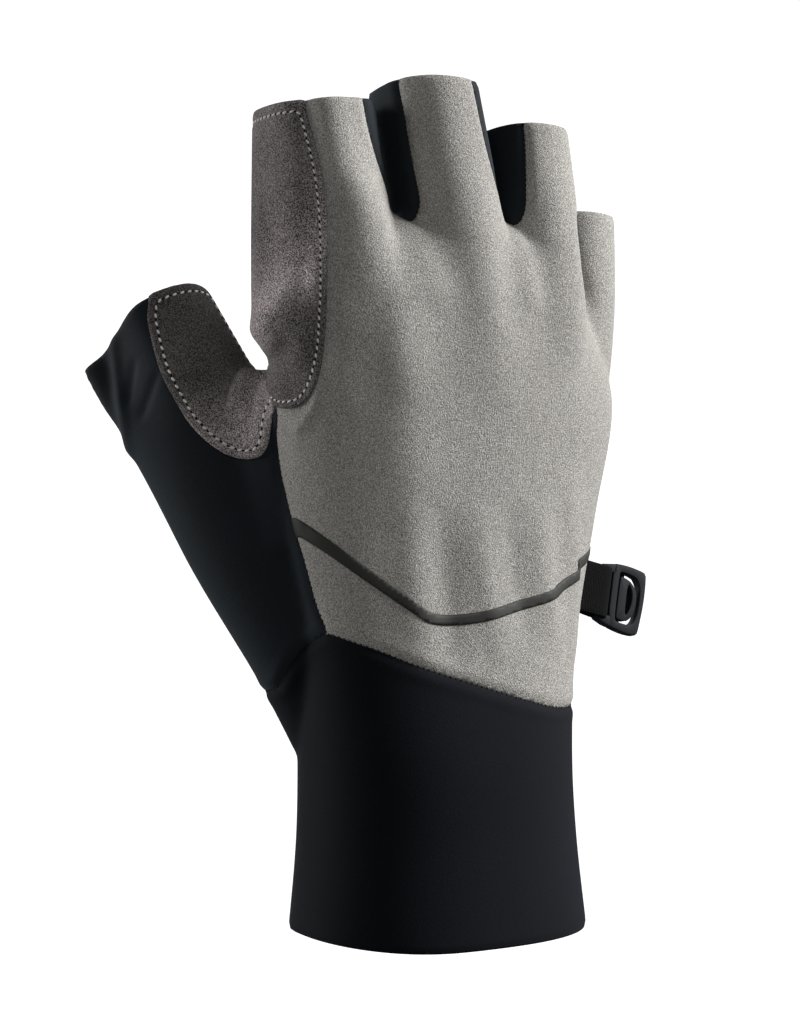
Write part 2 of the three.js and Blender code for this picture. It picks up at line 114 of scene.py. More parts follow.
def softened(outline: Sequence[Sequence[float]], rounds: int = 2, closed: bool = True) -> Array:
    """An outline with its corners cut again and again, which leaves a smooth curve.

    Args:
        outline: The points, in order.
        rounds: How often each corner is cut.
        closed: Whether the last point joins the first.

    Returns:
        The points of the curve.
    """
    points = np.array(outline, float)
    for _ in range(rounds):
        after = np.roll(points, -1, axis=0) if closed else points[1:]
        before = points if closed else points[:-1]
        cut = np.stack([0.75 * before + 0.25 * after, 0.25 * before + 0.75 * after], 1).reshape(-1, 2)
        points = cut if closed else np.vstack([points[:1], cut, points[-1:]])
    return points


def line_distance(x: Array, y: Array, line: Array) -> Array:
    """Distance from points in a plane to an open line of points.

    Args:
        x: The points' first coordinates.
        y: The points' second coordinates.
        line: The line's points, in order.

    Returns:
        The distances.
    """
    best = np.full(len(x), np.inf)
    for start, end in zip(line, line[1:]):
        across, up = end - start
        right, high = x - start[0], y - start[1]
        share = np.clip((right * across + high * up) / max(across * across + up * up, TINY), 0, 1)
        right -= share * across
        high -= share * up
        np.minimum(best, right * right + high * high, out=best)
    return np.sqrt(best)


def outline_field(flat: Array, outline: Array) -> Array:
    """Signed distance to a closed outline.

    Args:
        flat: Points in the outline's plane, one a row.
        outline: The outline's points, in order.

    Returns:
        The distances, negative inside.
    """
    x, y = np.ascontiguousarray(flat[:, 0]), np.ascontiguousarray(flat[:, 1])
    best = line_distance(x, y, np.vstack([outline, outline[:1]]))
    inside = np.zeros(len(flat), bool)
    for start, end in zip(outline, np.roll(outline, -1, axis=0)):
        if start[1] != end[1]:
            crossing = (start[1] > y) != (end[1] > y)
            place = start[0] + (y[crossing] - start[1]) * (end[0] - start[0]) / (end[1] - start[1])
            inside[crossing] ^= x[crossing] < place
    return np.where(inside, -best, best)


def bell(value: Array, width: float) -> Array:
    """A bump of height 1 round nought, which falls off over a width."""
    return np.exp(-((value / width) ** 2))


def seen(places: Array, across: Sequence[float]) -> Array:
    """Places as they are seen straight on: how far along a direction, and how high."""
    return np.stack([places @ np.array(across), places[:, 2]], 1)


@dataclass(frozen=True)
class Tube:
    """A sleeve through sections that each have a centre, half sizes and a way to bend."""

    rows: Rows
    first: Triple = (1.0, 0.0, 0.0)
    square: float = 2.2
    sides: int = 72
    steps: int = 48

    def bend(self, u: Array, v: Array, row: Array) -> tuple[Array, Array]:
        """Bends one section's points, which a plain sleeve leaves as they are."""
        return u, v

    def depth(self, places: Array) -> Array:
        """How far out from the middle each place is at its own height, 1 on the sleeve's wall.

        Args:
            places: The places, one a row.

        Returns:
            The shares.
        """
        rows = np.array(self.rows)
        x, y, wide, deep = (np.interp(places[:, 2], rows[:, 2], rows[:, k]) for k in (0, 1, 3, 4))
        offset = places[:, :2] - np.stack([x, y], 1)
        along = np.array(self.first[:2])
        beside = np.array([-along[1], along[0]])
        return np.hypot(offset @ along / wide, offset @ beside / deep)

    def rings(self) -> list[Array]:
        """The sleeve's rings of points, each square to the line of centres.

        Returns:
            The rings, from the root up.
        """
        levels = smooth_rows(np.array(self.rows), self.steps)
        rings = []
        for k, row in enumerate(levels):
            along = levels[min(self.steps, k + 1), :3] - levels[max(0, k - 1), :3]
            along = along / np.linalg.norm(along)
            across = np.array(self.first) - along * (np.array(self.first) @ along)
            across = across / np.linalg.norm(across)
            deep = np.cross(along, across)
            rings.append(self.ring(row, across, deep))
        return rings

    def ring(self, row: Array, across: Array, deep: Array) -> Array:
        """One ring of points round a bent superellipse.

        Args:
            row: Centre, half width, half depth and the columns that bend reads.
            across: Direction of the width.
            deep: Direction of the depth.

        Returns:
            The ring's points.
        """
        turn = np.linspace(0, 2 * math.pi, self.sides, endpoint=False)
        c, s = np.cos(turn), np.sin(turn)
        u = row[3] * np.sign(c) * np.abs(c) ** (2 / self.square)
        v = row[4] * np.sign(s) * np.abs(s) ** (2 / self.square)
        u, v = self.bend(u, v, row)
        return row[:3] + u[:, None] * across + v[:, None] * deep


@dataclass(frozen=True)
class HandTube(Tube):
    """Hand and cuff: its sections stay level and their sides bend towards the palm."""

    below: float = 8.0

    def rings(self) -> list[Array]:
        """The level rings, carried on below the wrist rim.

        Returns:
            The rings, from the wrist up.
        """
        levels = smooth_rows(np.array(self.rows), self.steps)
        rings = [self.ring(row, ACROSS, -np.cross(ACROSS, UP)) for row in levels]
        return [rings[0] - UP * self.below, *rings]

    def bend(self, u: Array, v: Array, row: Array) -> tuple[Array, Array]:
        """Bends a section's two sides towards the palm by its arch."""
        return u, v + row[5] * (u / row[3]) ** 2


@dataclass(frozen=True)
class ThumbTube(Tube):
    """Thumb sleeve: its outer edge is pinched flat towards the rim."""

    start: float = -0.75
    run: float = 0.85

    def bend(self, u: Array, v: Array, row: Array) -> tuple[Array, Array]:
        """Flattens a section's outer edge by its pinch."""
        full = ease((u / row[3] - self.start) / self.run)
        return u, v * (1 - row[5] * (1 - full))


@dataclass(frozen=True)
class Rim:
    """A finger's or the thumb's mouth: a tilted plane that dips at its two sides."""

    middle: Triple
    normal: Triple
    dip: float = 0.0

    def height(self, places: Array) -> Array:
        """Signed distance beyond the rim, positive outside the sleeve.

        Args:
            places: The places, one a row.

        Returns:
            The distances.
        """
        offset = places - np.array(self.middle)
        normal = np.array(self.normal) / np.linalg.norm(self.normal)
        side, near = offset @ SIDE, offset @ NEAR
        return offset @ normal + self.dip * side ** 2 / (side ** 2 + near ** 2 + TINY)


def leaning(tilt: float) -> Triple:
    """Normal of a rim that is tilted sideways by some degrees."""
    return (-math.sin(math.radians(tilt)), 0.0, math.cos(math.radians(tilt)))


def rolled(degrees: float) -> Triple:
    """Direction of a finger's width when it is rolled by some degrees."""
    return (math.cos(math.radians(degrees)), math.sin(math.radians(degrees)), 0.0)


@dataclass(frozen=True)
class GloveForm:
    """The glove's whole outer form, as closed sleeves that run into each other, and its rims."""

    hand: HandTube = HandTube(
        rows=(
            (1.2, 0, 0, 34.5, 25.5, 0), (0.9, 0, 20, 32.5, 24, 0), (0.6, 0, 40, 32, 23, 0),
            (1.5, 0, 65, 33.8, 20, 0.5), (3, -0.5, 92, 39.1, 18, 2), (5, -1.5, 119, 43.4, 17, 4.5),
            (0.9, -2, 140, 39.5, 16, 5), (0.6, -2, 151.5, 36.6, 14, 5), (1.6, -2, 157.2, 33.4, 9, 4),
        ),
        square=2.35, sides=120, steps=80,
    )
    fingers: tuple[Tube, ...] = (
        Tube(rows=((-17, -1, 96, 9, 10), (-22.2, -1, 116, 12.6, 12.4), (-24.7, -1, 129, 14.9, 13.6),
                   (-26.5, -0.8, 136, 16.6, 14.5), (-28.7, -1.2, 150, 14.8, 14.6),
                   (-31.1, -0.9, 188, 11.8, 13.4))),
        Tube(rows=((3, -2, 100, 9, 9), (4, -5, 125, 11.6, 12.8), (1, -6, 148, 12, 13),
                   (-6.8, -4, 194, 11.3, 12.9))),
        Tube(rows=((18, -1, 100, 8, 9), (23.4, -4, 125, 10.8, 12), (23.4, -4.5, 148, 10.6, 12),
                   (19.4, -3.2, 186, 10.4, 11.4)), first=rolled(14)),
        Tube(rows=((29, 4, 90, 8, 8), (36, 4, 115, 9.8, 10.6), (41, 5.8, 140, 9.9, 10.6),
                   (44, 9.2, 170, 9.4, 9.8)), first=rolled(24)),
    )
    web: Tube = Tube(rows=((-36, 14, 84, 14, 8), (-36.5, 14.5, 104, 13, 7), (-37, 14, 118, 11, 5),
                           (-38.2, 14, 124, 7, 2)), first=(0.45, -0.89, 0.0), square=2.0)
    thumb_rows: Rows = (
        (-20.5, 2, 42, 11, 10.5, 0), (-27, 0.6, 66, 16.5, 15.5, 0), (-38.4, -1, 89, 18.5, 15.5, 0),
        (-52.3, -4, 111, 16.7, 13, 0.1), (-65.6, -8, 133, 16.8, 11.5, 0.8),
        (-73.8, -11, 148, 16.4, 11, 0.85),
    )
    finger_rims: tuple[Rim, ...] = (
        Rim((-30.1, -0.9, 180.7), leaning(6), 0.0),
        Rim((-6.6, -4.3, 187.7), leaning(5), 1.2),
        Rim((20, -3.4, 180.2), leaning(5), 1.2),
        Rim((42.6, 7.8, 163.6), leaning(1), 0.6),
    )
    finger_floor: float = 150
    thumb_mouth: Triple = (-65, -8, 134.3)
    thumb_lean: Triple = (-0.555, -0.5, 0.785)
    cuff_floor: float = -0.8
    cuff_lift: Triple = (2.0, -8.0, 26.0)
    voxel: float = 0.75
    smoothing: int = 14
    softness: float = 0.5
    knuckles: Pair = (88, 153)
    knuckle_depth: float = -4
    knuckle_end: float = 27
    knuckle_rounds: int = 60

    def place(self, s: float, t: float, z: float) -> Array:
        """A place from how far across and near it is in the thumb's plane, and its height."""
        return SIDE * s + NEAR * t + UP * z

    def thumb(self) -> ThumbTube:
        """The thumb's sleeve, with its centres turned into the glove's frame."""
        rows = tuple((*self.place(*row[:3]), *row[3:]) for row in self.thumb_rows)
        return ThumbTube(rows=rows, first=tuple(SIDE), square=2.3)

    def rims(self) -> tuple[Rim, ...]:
        """Every sleeve's mouth, the thumb's last."""
        mouth = Rim(tuple(self.place(*self.thumb_mouth)), tuple(self.place(*self.thumb_lean)))
        return (*self.finger_rims, mouth)

    def finger_heights(self, places: Array) -> Array:
        """Signed distance beyond the rim of the finger that each place belongs to.

        Args:
            places: The places, one a row.

        Returns:
            The distances, positive outside the sleeve.
        """
        number = np.argmin([tube.depth(places) for tube in self.fingers], axis=0)
        heights = np.stack([rim.height(places) for rim in self.finger_rims])
        height = heights[number, np.arange(len(places))]
        return np.where(places[:, 2] > self.finger_floor, height, -FAR)

    def cuff_rim(self, places: Array) -> Array:
        """Signed distance below the wrist rim, positive outside the cuff.

        Args:
            places: The places, one a row.

        Returns:
            The distances.
        """
        height, start, run = self.cuff_lift
        lift = height * np.maximum(0, (start - places[:, 0]) / run) ** 2
        return lift + self.cuff_floor - places[:, 2]

    def skin(self) -> BMesh:
        """Joins the sleeves into one closed skin of even faces.

        Returns:
            The skin as a bmesh, in millimetres.
        """
        bm = bmesh.new()
        for tube in (self.hand, *self.fingers, self.web, self.thumb()):
            loft(bm, tube.rings())
        bmesh.ops.recalc_face_normals(bm, faces=bm.faces[:])
        made = object_of(bm, "skin")
        remesh = made.modifiers.new("even_faces", "REMESH")
        remesh.mode = "VOXEL"
        remesh.voxel_size = self.voxel
        joins = made.modifiers.new("soft_joins", "SMOOTH")
        joins.factor = self.softness
        joins.iterations = self.smoothing
        skin = bmesh.new()
        skin.from_object(made, bpy.context.evaluated_depsgraph_get())
        mesh = made.data
        bpy.data.objects.remove(made)
        bpy.data.meshes.remove(mesh)
        low, high = self.knuckles
        soft = [vert for vert in skin.verts
                if low < vert.co.z < high and vert.co.y < self.knuckle_depth and vert.co.x < self.knuckle_end]
        for _ in range(self.knuckle_rounds):
            bmesh.ops.smooth_vert(skin, verts=soft, factor=self.softness, use_axis_x=True, use_axis_y=True,
                                  use_axis_z=True)
        return skin


def ring_of(bm: BMesh, places: Sequence, filled: bool = False) -> list[Edge]:
    """Adds a closed ring.

    Args:
        bm: The bmesh that it goes into.
        places: The places that it runs through.
        filled: Whether it gets a face.

    Returns:
        The ring's edges.
    """
    verts = bmesh.ops.create_circle(bm, cap_ends=filled, radius=1.0, segments=len(places))["verts"]
    for vert, place in zip(verts, places):
        vert.co = place
    return list(dict.fromkeys(edge for vert in verts for edge in vert.link_edges))


def loft(bm: BMesh, rings: Sequence[Array]) -> None:
    """Adds a closed body through rings of points.

    Args:
        bm: The bmesh that it goes into.
        rings: The rings, with as many points each.
    """
    loops = [ring_of(bm, ring) for ring in rings]
    for low, high in zip(loops, loops[1:]):
        bmesh.ops.bridge_loops(bm, edges=low + high)
    for end in (loops[0], loops[-1]):
        bmesh.ops.edgeloop_fill(bm, edges=end)


def face_out(bm: BMesh) -> None:
    """Turns the faces of a closed shape outwards.

    Args:
        bm: The shape.
    """
    bmesh.ops.recalc_face_normals(bm, faces=bm.faces[:])
    if bm.calc_volume(signed=True) < 0:
        bmesh.ops.reverse_faces(bm, faces=bm.faces[:])


def pour(part: BMesh, whole: BMesh) -> None:
    """Adds one bmesh to another.

    Args:
        part: What is added. It is freed.
        whole: What it is added to.
    """
    mesh = bpy.data.meshes.new("part")
    part.to_mesh(mesh)
    part.free()
    whole.from_mesh(mesh)
    bpy.data.meshes.remove(mesh)


def object_of(bm: BMesh, name: str) -> Object:
    """Makes a smoothly shaded object of a bmesh and frees the bmesh.

    Args:
        bm: The shape.
        name: The object's name.

    Returns:
        The object, linked to the scene.
    """
    for face in bm.faces:
        face.smooth = True
    mesh = bpy.data.meshes.new(name)
    bm.to_mesh(mesh)
    bm.free()
    made = bpy.data.objects.new(name, mesh)
    bpy.context.scene.collection.objects.link(made)
    return made


def piece_of(bm: BMesh, name: str, place: Matrix = Matrix(), sharp: float = 0.0) -> Object:
    """Makes a piece of a bmesh in millimetres.

    Args:
        bm: The shape.
        name: The piece's name.
        place: How it is turned and moved.
        sharp: The angle in degrees past which an edge stays sharp, nought where none does.

    Returns:
        The piece, in metres.
    """
    bmesh.ops.transform(bm, matrix=TO_METRES @ place, verts=bm.verts[:])
    made = object_of(bm, name)
    if sharp:
        made.data.set_sharp_from_angle(angle=math.radians(sharp))
    return made


def places_of(bm: BMesh) -> Array:
    """The places of a bmesh's vertices, one a row."""
    return np.array([vert.co for vert in bm.verts])


class Line(IntEnum):
    """The lines that the skin is cut along. A vertex on two of them keeps the later one."""

    CUFF = 1
    THUMB = 2
    NOTCH = 3
    BACK = 4
    RIM = 5
    EDGE = 6
    STITCH = 7


@dataclass
class Skin:
    """The glove's skin, which is cut along its seams and rims before it is shaped and parted."""

    bm: BMesh
    snap: float = 0.3
    slack: float = 0.02

    def __post_init__(self) -> None:
        """Finds or adds the layers: a vertex's line, its way out, and the panel of a face."""
        verts, faces = self.bm.verts.layers, self.bm.faces.layers
        self.line = verts.int.get("line") or verts.int.new("line")
        self.out = verts.float_vector.get("out") or verts.float_vector.new("out")
        self.part = faces.int.get("part") or faces.int.new("part")

    def cut(self, boundary: Field, mark: Line, within: Field | None = None) -> None:
        """Cuts the faces along the line where a field is nought.

        Args:
            boundary: The field, in millimetres.
            mark: The line, which its vertices keep.
            within: Where the cut is made: only where this is positive.
        """
        bm = self.bm
        bm.verts.index_update()
        places = places_of(bm)
        values = boundary(places)
        verts = list(bm.verts)
        edges = list(bm.edges)
        ends = np.array([(edge.verts[0].index, edge.verts[1].index) for edge in edges])
        one, two = values[ends[:, 0]], values[ends[:, 1]]
        crossing = np.nonzero(one * two < 0)[0]
        if within is not None:
            crossing = crossing[within(places[ends[crossing]].mean(1)) > -self.slack]
        shares = {int(k): one[k] / (one[k] - two[k]) for k in crossing}
        on_line = self.snapped(verts, ends, shares, places, values)
        for k, share in shares.items():
            a, b = ends[k]
            if values[a] * values[b] < 0:
                _, fresh = bmesh.utils.edge_split(edges[k], verts[a], float(share))
                on_line.append(fresh)
        for vert in on_line:
            vert[self.line] = max(vert[self.line], mark)
        bmesh.ops.connect_verts(bm, verts=on_line, check_degenerate=True)

    def snapped(self, verts: list, ends: Array, shares: dict[int, float], places: Array,
                values: Array) -> list:
        """Moves vertices that lie close to the line onto it, so that no sliver is cut.

        Args:
            verts: The skin's vertices.
            ends: The index of each edge's two vertices.
            shares: Where the line crosses an edge, by the edge's number.
            places: The vertices' places.
            values: The field at the vertices, set to nought where one is moved.

        Returns:
            The vertices that were moved.
        """
        nearest: dict[int, tuple[float, int]] = {}
        for k, share in shares.items():
            for end, reach in ((0, share), (1, 1 - share)):
                vert = int(ends[k, end])
                if reach < self.snap and not verts[vert][self.line]:
                    nearest[vert] = min(nearest.get(vert, (1.0, k)), (reach, k))
        moved = []
        for vert, (_, k) in nearest.items():
            a, b = ends[k]
            if values[a] * values[b] < 0:
                verts[vert].co = places[a] + (places[b] - places[a]) * shares[k]
                values[vert] = 0.0
                moved.append(verts[vert])
        return moved

    def distance(self, *marks: Line) -> Array:
        """Each vertex's distance to the nearest of some lines.

        Args:
            marks: The lines.

        Returns:
            The distances, in millimetres.
        """
        points = [vert.co.copy() for vert in self.bm.verts if vert[self.line] in marks]
        tree = kdtree.KDTree(len(points))
        for k, point in enumerate(points):
            tree.insert(point, k)
        tree.balance()
        return np.array([tree.find(vert.co)[2] for vert in self.bm.verts])

    def push(self, amount: Array) -> None:
        """Moves each vertex along its normal, and keeps the new normals as the wall's way out.

        Args:
            amount: The distance for each vertex.
        """
        self.bm.normal_update()
        for vert, step in zip(self.bm.verts, amount):
            vert.co = vert.co + vert.normal * float(step)
        self.bm.normal_update()
        for vert in self.bm.verts:
            vert[self.out] = vert.normal

    def centres(self) -> Array:
        """The middles of the faces."""
        return np.array([face.calc_center_median() for face in self.bm.faces])

    def panel(self, chosen: Array) -> "Skin":
        """A copy of some of the faces.

        Args:
            chosen: Whether each face is taken.

        Returns:
            The panel as a skin of its own.
        """
        copy = self.bm.copy()
        copy.faces.ensure_lookup_table()
        dropped = [face for face, taken in zip(copy.faces, chosen) if not taken]
        bmesh.ops.delete(copy, geom=dropped, context="FACES")
        return Skin(copy)

    def walled(self, lift: float, thickness: float) -> BMesh:
        """Gives the skin a wall that goes in from its outer face.

        Args:
            lift: How far the outer face is moved out first.
            thickness: The wall's thickness.

        Returns:
            The closed wall.
        """
        bm = self.bm
        for vert in bm.verts:
            vert.co = vert.co + vert[self.out] * lift
        made = bmesh.ops.extrude_face_region(bm, geom=bm.faces[:], use_keep_orig=True)
        for vert in made["geom"]:
            if isinstance(vert, Vert):
                vert.co = vert.co - vert[self.out] * thickness
        face_out(bm)
        return bm


class Panel(IntEnum):
    """The sewn panels of the skin."""

    CUFF = 1
    BACK = 2
    PALM = 3
    THUMB = 4
    INDEX_MIDDLE = 5
    MIDDLE_RING = 6
    RING_LITTLE = 7


PANELS: dict[Panel, tuple[str, str]] = {
    Panel.CUFF: ("cuff", "black_knit"),
    Panel.BACK: ("back_panel", "grey_stretch"),
    Panel.PALM: ("palm_panel", "taupe_suede"),
    Panel.THUMB: ("thumb_sleeve", "black_stretch"),
    Panel.INDEX_MIDDLE: ("fourchette_index_middle", "black_stretch"),
    Panel.MIDDLE_RING: ("fourchette_middle_ring", "black_stretch"),
    Panel.RING_LITTLE: ("fourchette_ring_little", "black_stretch"),
}


@dataclass(frozen=True)
class TwoFaced:
    """A part of the skin inside an outline seen along one direction, and another one on the far side."""

    near: Outline
    far: Outline
    change: Pair
    across: Triple = tuple(SIDE)
    depth: Triple = tuple(NEAR)

    def __call__(self, places: Array) -> Array:
        """Signed distance, blended from the near outline to the far one.

        Args:
            places: The places, one a row.

        Returns:
            The distances, negative inside.
        """
        flat = seen(places, self.across)
        deep = places @ np.array(self.depth)
        share = ease((self.change[0] - deep) / (self.change[0] - self.change[1]))
        near, far = (outline_field(flat, softened(outline)) for outline in (self.near, self.far))
        return near + (far - near) * share


@dataclass(frozen=True)
class Pattern:
    """The seams of the glove: which panel each part of the skin belongs to."""

    cuff: TwoFaced = TwoFaced(
        near=((-60, 52), (-35.7, 52.2), (-32.7, 58.1), (-29.4, 63), (-26, 65.5), (-23.9, 66.6), (-23.1, 66.8),
              (-18.3, 65.3), (-11.9, 63.3), (-3.4, 59.8), (7.4, 56.3), (18.6, 52.3), (31, 48.2), (60, 47.8),
              (60, -90), (-60, -90)),
        far=((-60, 52), (-35.7, 52.2), (31, 49), (60, 48.6), (60, -90), (-60, -90)),
        change=(6.0, -4.0),
    )
    thumb_seam: Outline = (
        (-23.4, 67.2), (-25.5, 71.5), (-26.9, 76.2), (-28.6, 82.6), (-30.8, 89.1), (-32.5, 95.6),
        (-34, 102), (-34.9, 109.2), (-34.5, 113), (-34.4, 116.1), (-37.8, 124), (-45.3, 133), (-45.3, 210),
        (-90, 210), (-90, 20), (-23.3, 20), (-23.3, 60),
    )
    notches: tuple[TwoFaced, ...] = tuple(TwoFaced(*pair, (6.0, -6.0), tuple(ACROSS), BACK_VIEW) for pair in (
        (
            ((-27.3, 205), (-25.8, 180.6), (-23.6, 173), (-20.7, 167), (-17.6, 162.5), (-15.7, 159.2),
             (-14.2, 156.8), (-12.9, 155.7), (-11.7, 156.4), (-11.2, 159.6), (-12, 164), (-12.9, 169),
             (-14.1, 176), (-14.8, 180.6), (-15.8, 186), (-18, 205)),
            ((-22.5, 205), (-21.4, 181), (-20, 170), (-18, 161), (-16.4, 156.4), (-14, 155.2),
             (-11.6, 156.4), (-11, 161), (-12.4, 170), (-14.9, 186), (-17, 205)),
        ),
        (
            ((-3, 205), (0.9, 186), (2.4, 180.2), (4.2, 173.2), (6.7, 166.8), (10, 160.8),
             (12.5, 157.9), (13.9, 156.7), (15.1, 157.6), (15.8, 161), (15.7, 167), (15.5, 173),
             (15.3, 177.6), (14.8, 181), (14, 205)),
            ((0, 205), (3.6, 186), (5.4, 176), (7.6, 166), (9.6, 157.5), (11.8, 155.2),
             (14.2, 157.5), (14.4, 166), (13, 176), (12.2, 184), (10, 205)),
        ),
        (
            ((30.2, 205), (31, 181), (32.2, 168), (33, 157), (33.8, 152), (35.2, 150),
             (36.6, 151.5), (37.4, 156), (37.6, 165), (37.4, 205)),
            ((24, 205), (25, 181), (26.4, 168), (27.4, 157), (29, 151.5), (31.4, 149.6),
             (34, 151.5), (35.4, 156), (36.2, 165), (37, 205)),
        ),
    ))
    back_edge: Outline = (
        (-90, 17), (-42, 15), (-35, 8), (-24, 2), (28, 0), (38, 8), (90, 10), (90, -90), (-90, -90),
    )

    def thumb(self, places: Array) -> Array:
        """Signed distance to the thumb's part, seen straight on to the thumb's plane."""
        return outline_field(seen(places, SIDE), softened(self.thumb_seam))

    def back(self, places: Array) -> Array:
        """Signed distance to the back's side of the hand, seen from above."""
        return outline_field(places[:, :2], softened(self.back_edge))


@dataclass(frozen=True)
class Overlays:
    """Patches and stripe that lie on the skin, as outlines."""

    index: TwoFaced = TwoFaced(
        near=((-28.2, 205), (-28.2, 181), (-26.3, 173.6), (-24.5, 167), (-23.2, 159), (-22.9, 151),
              (-23, 144.7), (-23.1, 137.2), (-23.5, 129.8), (-24.5, 123), (-25.6, 119.4), (-27.6, 116.5),
              (-29.6, 115.4), (-32, 115.2), (-36.5, 115.6), (-60, 116.5), (-60, 205)),
        far=((-34.5, 205), (-34.5, 127), (-36, 119), (-39, 117.2), (-60, 117), (-60, 205)),
        change=(19.0, 9.0),
    )
    thumb_patch: Outline = (
        (-64.2, 170), (-63.9, 139.8), (-64.2, 136.3), (-63.5, 133.3), (-61.8, 127), (-60.3, 122.9),
        (-57.2, 117.3), (-53.6, 111.5), (-49.2, 107.5), (-45, 105), (-40.4, 104.3),
        (-37.4, 105.2), (-36.1, 108.2), (-35.7, 112), (-35.2, 115.2), (-31, 118), (-30, 124), (-30, 170),
    )
    thumb_patch_back: Triple = (-3.2, 111, -0.18)
    stripe: tuple[Outline, ...] = (
        ((-38, 92.3), (-34, 88), (-32.2, 86.1), (-26.1, 80.5), (-18.4, 74.5), (-13.8, 71.1), (-12, 70.1),
         (-7.5, 69.5), (-0.1, 70.1), (10.6, 72.4), (21, 74.6), (22.4, 75.8), (26, 77.3), (34, 80.1)),
        ((27, 80.4), (31.2, 81.4), (39.6, 84)),
    )
    stripe_break: Pair = (29.6, 30.4)
    stripe_width: float = 2.3
    stripe_end: float = 4.0

    def thumb(self, places: Array) -> Array:
        """Signed distance to the patch on the thumb.

        Args:
            places: The places, one a row.

        Returns:
            The distances, negative inside.
        """
        back, level, slope = self.thumb_patch_back
        behind = back + slope * (places[:, 2] - level) - places @ NEAR
        return np.maximum(outline_field(seen(places, SIDE), softened(self.thumb_patch)), behind)

    def stripe_field(self, places: Array) -> Array:
        """Signed distance to the stripe, ended on the little finger's side.

        Args:
            places: The places, one a row.

        Returns:
            The distances, negative inside.
        """
        across, up = places[:, 0], places[:, 2]
        left, right = (line_distance(across, up, softened(part, 2, closed=False)) for part in self.stripe)
        half = self.stripe_width / 2
        left = np.maximum(left - half, across - self.stripe_break[1])
        right = np.maximum(right - half, self.stripe_break[0] - across)
        return np.maximum(np.minimum(left, right), places[:, 1] - self.stripe_end)


class Side(Enum):
    """The side of the glove that a fold lies on, by the way that it is looked at."""

    BACK = "back"
    THUMB = "thumb"
    LITTLE = "little"

    def flat(self, places: Array) -> tuple[Array, Array, Array]:
        """How far across, how high and how far towards the viewer each place is.

        Args:
            places: The places, one a row.

        Returns:
            The three measures.
        """
        if self is Side.THUMB:
            return places @ SIDE, places[:, 2], places @ NEAR + THUMB_BEHIND
        behind = LITTLE_BEHIND if self is Side.LITTLE else 0.0
        return places[:, 0], places[:, 2], behind - places[:, 1]


@dataclass(frozen=True)
class Fold:
    """A soft ridge or dent on the skin, along a line of places across and up."""

    line: Outline
    height: float
    width: float
    side: Side = Side.BACK
    fade: float = 8.0
    turn: float = 4.0

    def amount(self, places: Array) -> Array:
        """How far the fold moves each place out.

        Args:
            places: The places, one a row.

        Returns:
            The distances.
        """
        across, up, deep = self.side.flat(places)
        line = np.array(self.line)
        off = line_distance(across, up, line)
        low, high = line[:, 1].min(), line[:, 1].max()
        ends = ease((up - low) / self.fade + 0.5) * ease((high - up) / self.fade + 0.5)
        return self.height * ends * ease(deep / self.turn) * bell(off, self.width)


FOLDS: tuple[Fold, ...] = (
    Fold(((-35, 186), (-33, 174), (-28.4, 157)), 1.2, 4.5, fade=14),
    Fold(((-28.2, 160), (-20, 139), (-17.4, 118), (-15.6, 92)), 1.2, 7.5, fade=26),
    Fold(((-29, 164), (-20, 139), (-18, 120)), 1.4, 6.5, fade=18),
    Fold(((-38, 158), (-36.5, 140), (-35, 122)), -1.6, 7, fade=16),
    Fold(((-6.5, 172), (-1, 156), (3.6, 139), (5, 118)), 0.7, 6.0, fade=16),
    Fold(((-7.2, 184), (-6.4, 170)), 0.3, 4, fade=8),
    Fold(((19.3, 170), (22, 152), (23.2, 139), (24, 122)), 0.4, 6.0, fade=14),
    Fold(((-14.4, 157), (-12, 148), (-10, 138)), 0.9, 4.8, fade=8),
    Fold(((12.2, 158), (13.8, 149), (15, 138)), 1.0, 4.2, fade=8),
    Fold(((33.4, 160), (35.2, 149), (38.6, 141)), -1.4, 3.2, Side.LITTLE, fade=12),
    Fold(((0.6, 92), (1.2, 80), (4.4, 62)), 0.75, 3.4, fade=24),
    Fold(((17.4, 92), (17.8, 80), (21.4, 65)), 0.7, 3.4, fade=22),
    Fold(((-15.5, 92), (-15.5, 80), (-14.4, 62)), 0.7, 4.0, fade=22),
    Fold(((-8.6, 92), (-8, 80), (-6.8, 62)), -0.9, 3.8, fade=24),
    Fold(((9, 92), (9.3, 80), (12.8, 65)), -0.6, 3.0, fade=22),
    Fold(((27, 100), (29, 80), (30, 60)), 0.5, 3.2, fade=10),
    Fold(((-29.6, 186), (-26.2, 167), (-24.5, 151), (-24.5, 137), (-25.9, 124)), -1.1, 2.5, Side.THUMB),
    Fold(((-39, 131), (-29, 143)), 1.1, 2.6, Side.THUMB, fade=5),
    Fold(((-37, 122), (-28, 136)), -0.9, 3.0, Side.THUMB, fade=5),
    Fold(((-25.2, 121), (-25.8, 116.2), (-27.6, 112.8), (-30, 110)), 0.7, 1.2, Side.THUMB, fade=4),
    Fold(((-72.8, 134), (-71.7, 124.3), (-70.6, 117.2), (-68.8, 105)), 0.6, 1.3, Side.THUMB, fade=5),
    Fold(((-75, 128), (-73.4, 119), (-71, 108)), -0.5, 1.5, Side.THUMB, fade=5),
    Fold(((-67.3, 127), (-69, 117)), -0.4, 1.0, Side.THUMB, fade=4),
    Fold(((-61.8, 124), (-65.5, 114)), -0.4, 1.1, Side.THUMB, fade=4),
    Fold(((-41.6, 125), (-45, 113)), 1.0, 1.5, Side.THUMB, fade=6),
    Fold(((-38.6, 123), (-40.6, 110)), -0.7, 1.4, Side.THUMB, fade=6),
    Fold(((-44.6, 125), (-50.4, 114)), -0.7, 2.2, Side.THUMB, fade=6),
    Fold(((-46.5, 122), (-53.5, 114.5)), 0.5, 1.5, Side.THUMB, fade=4),
)


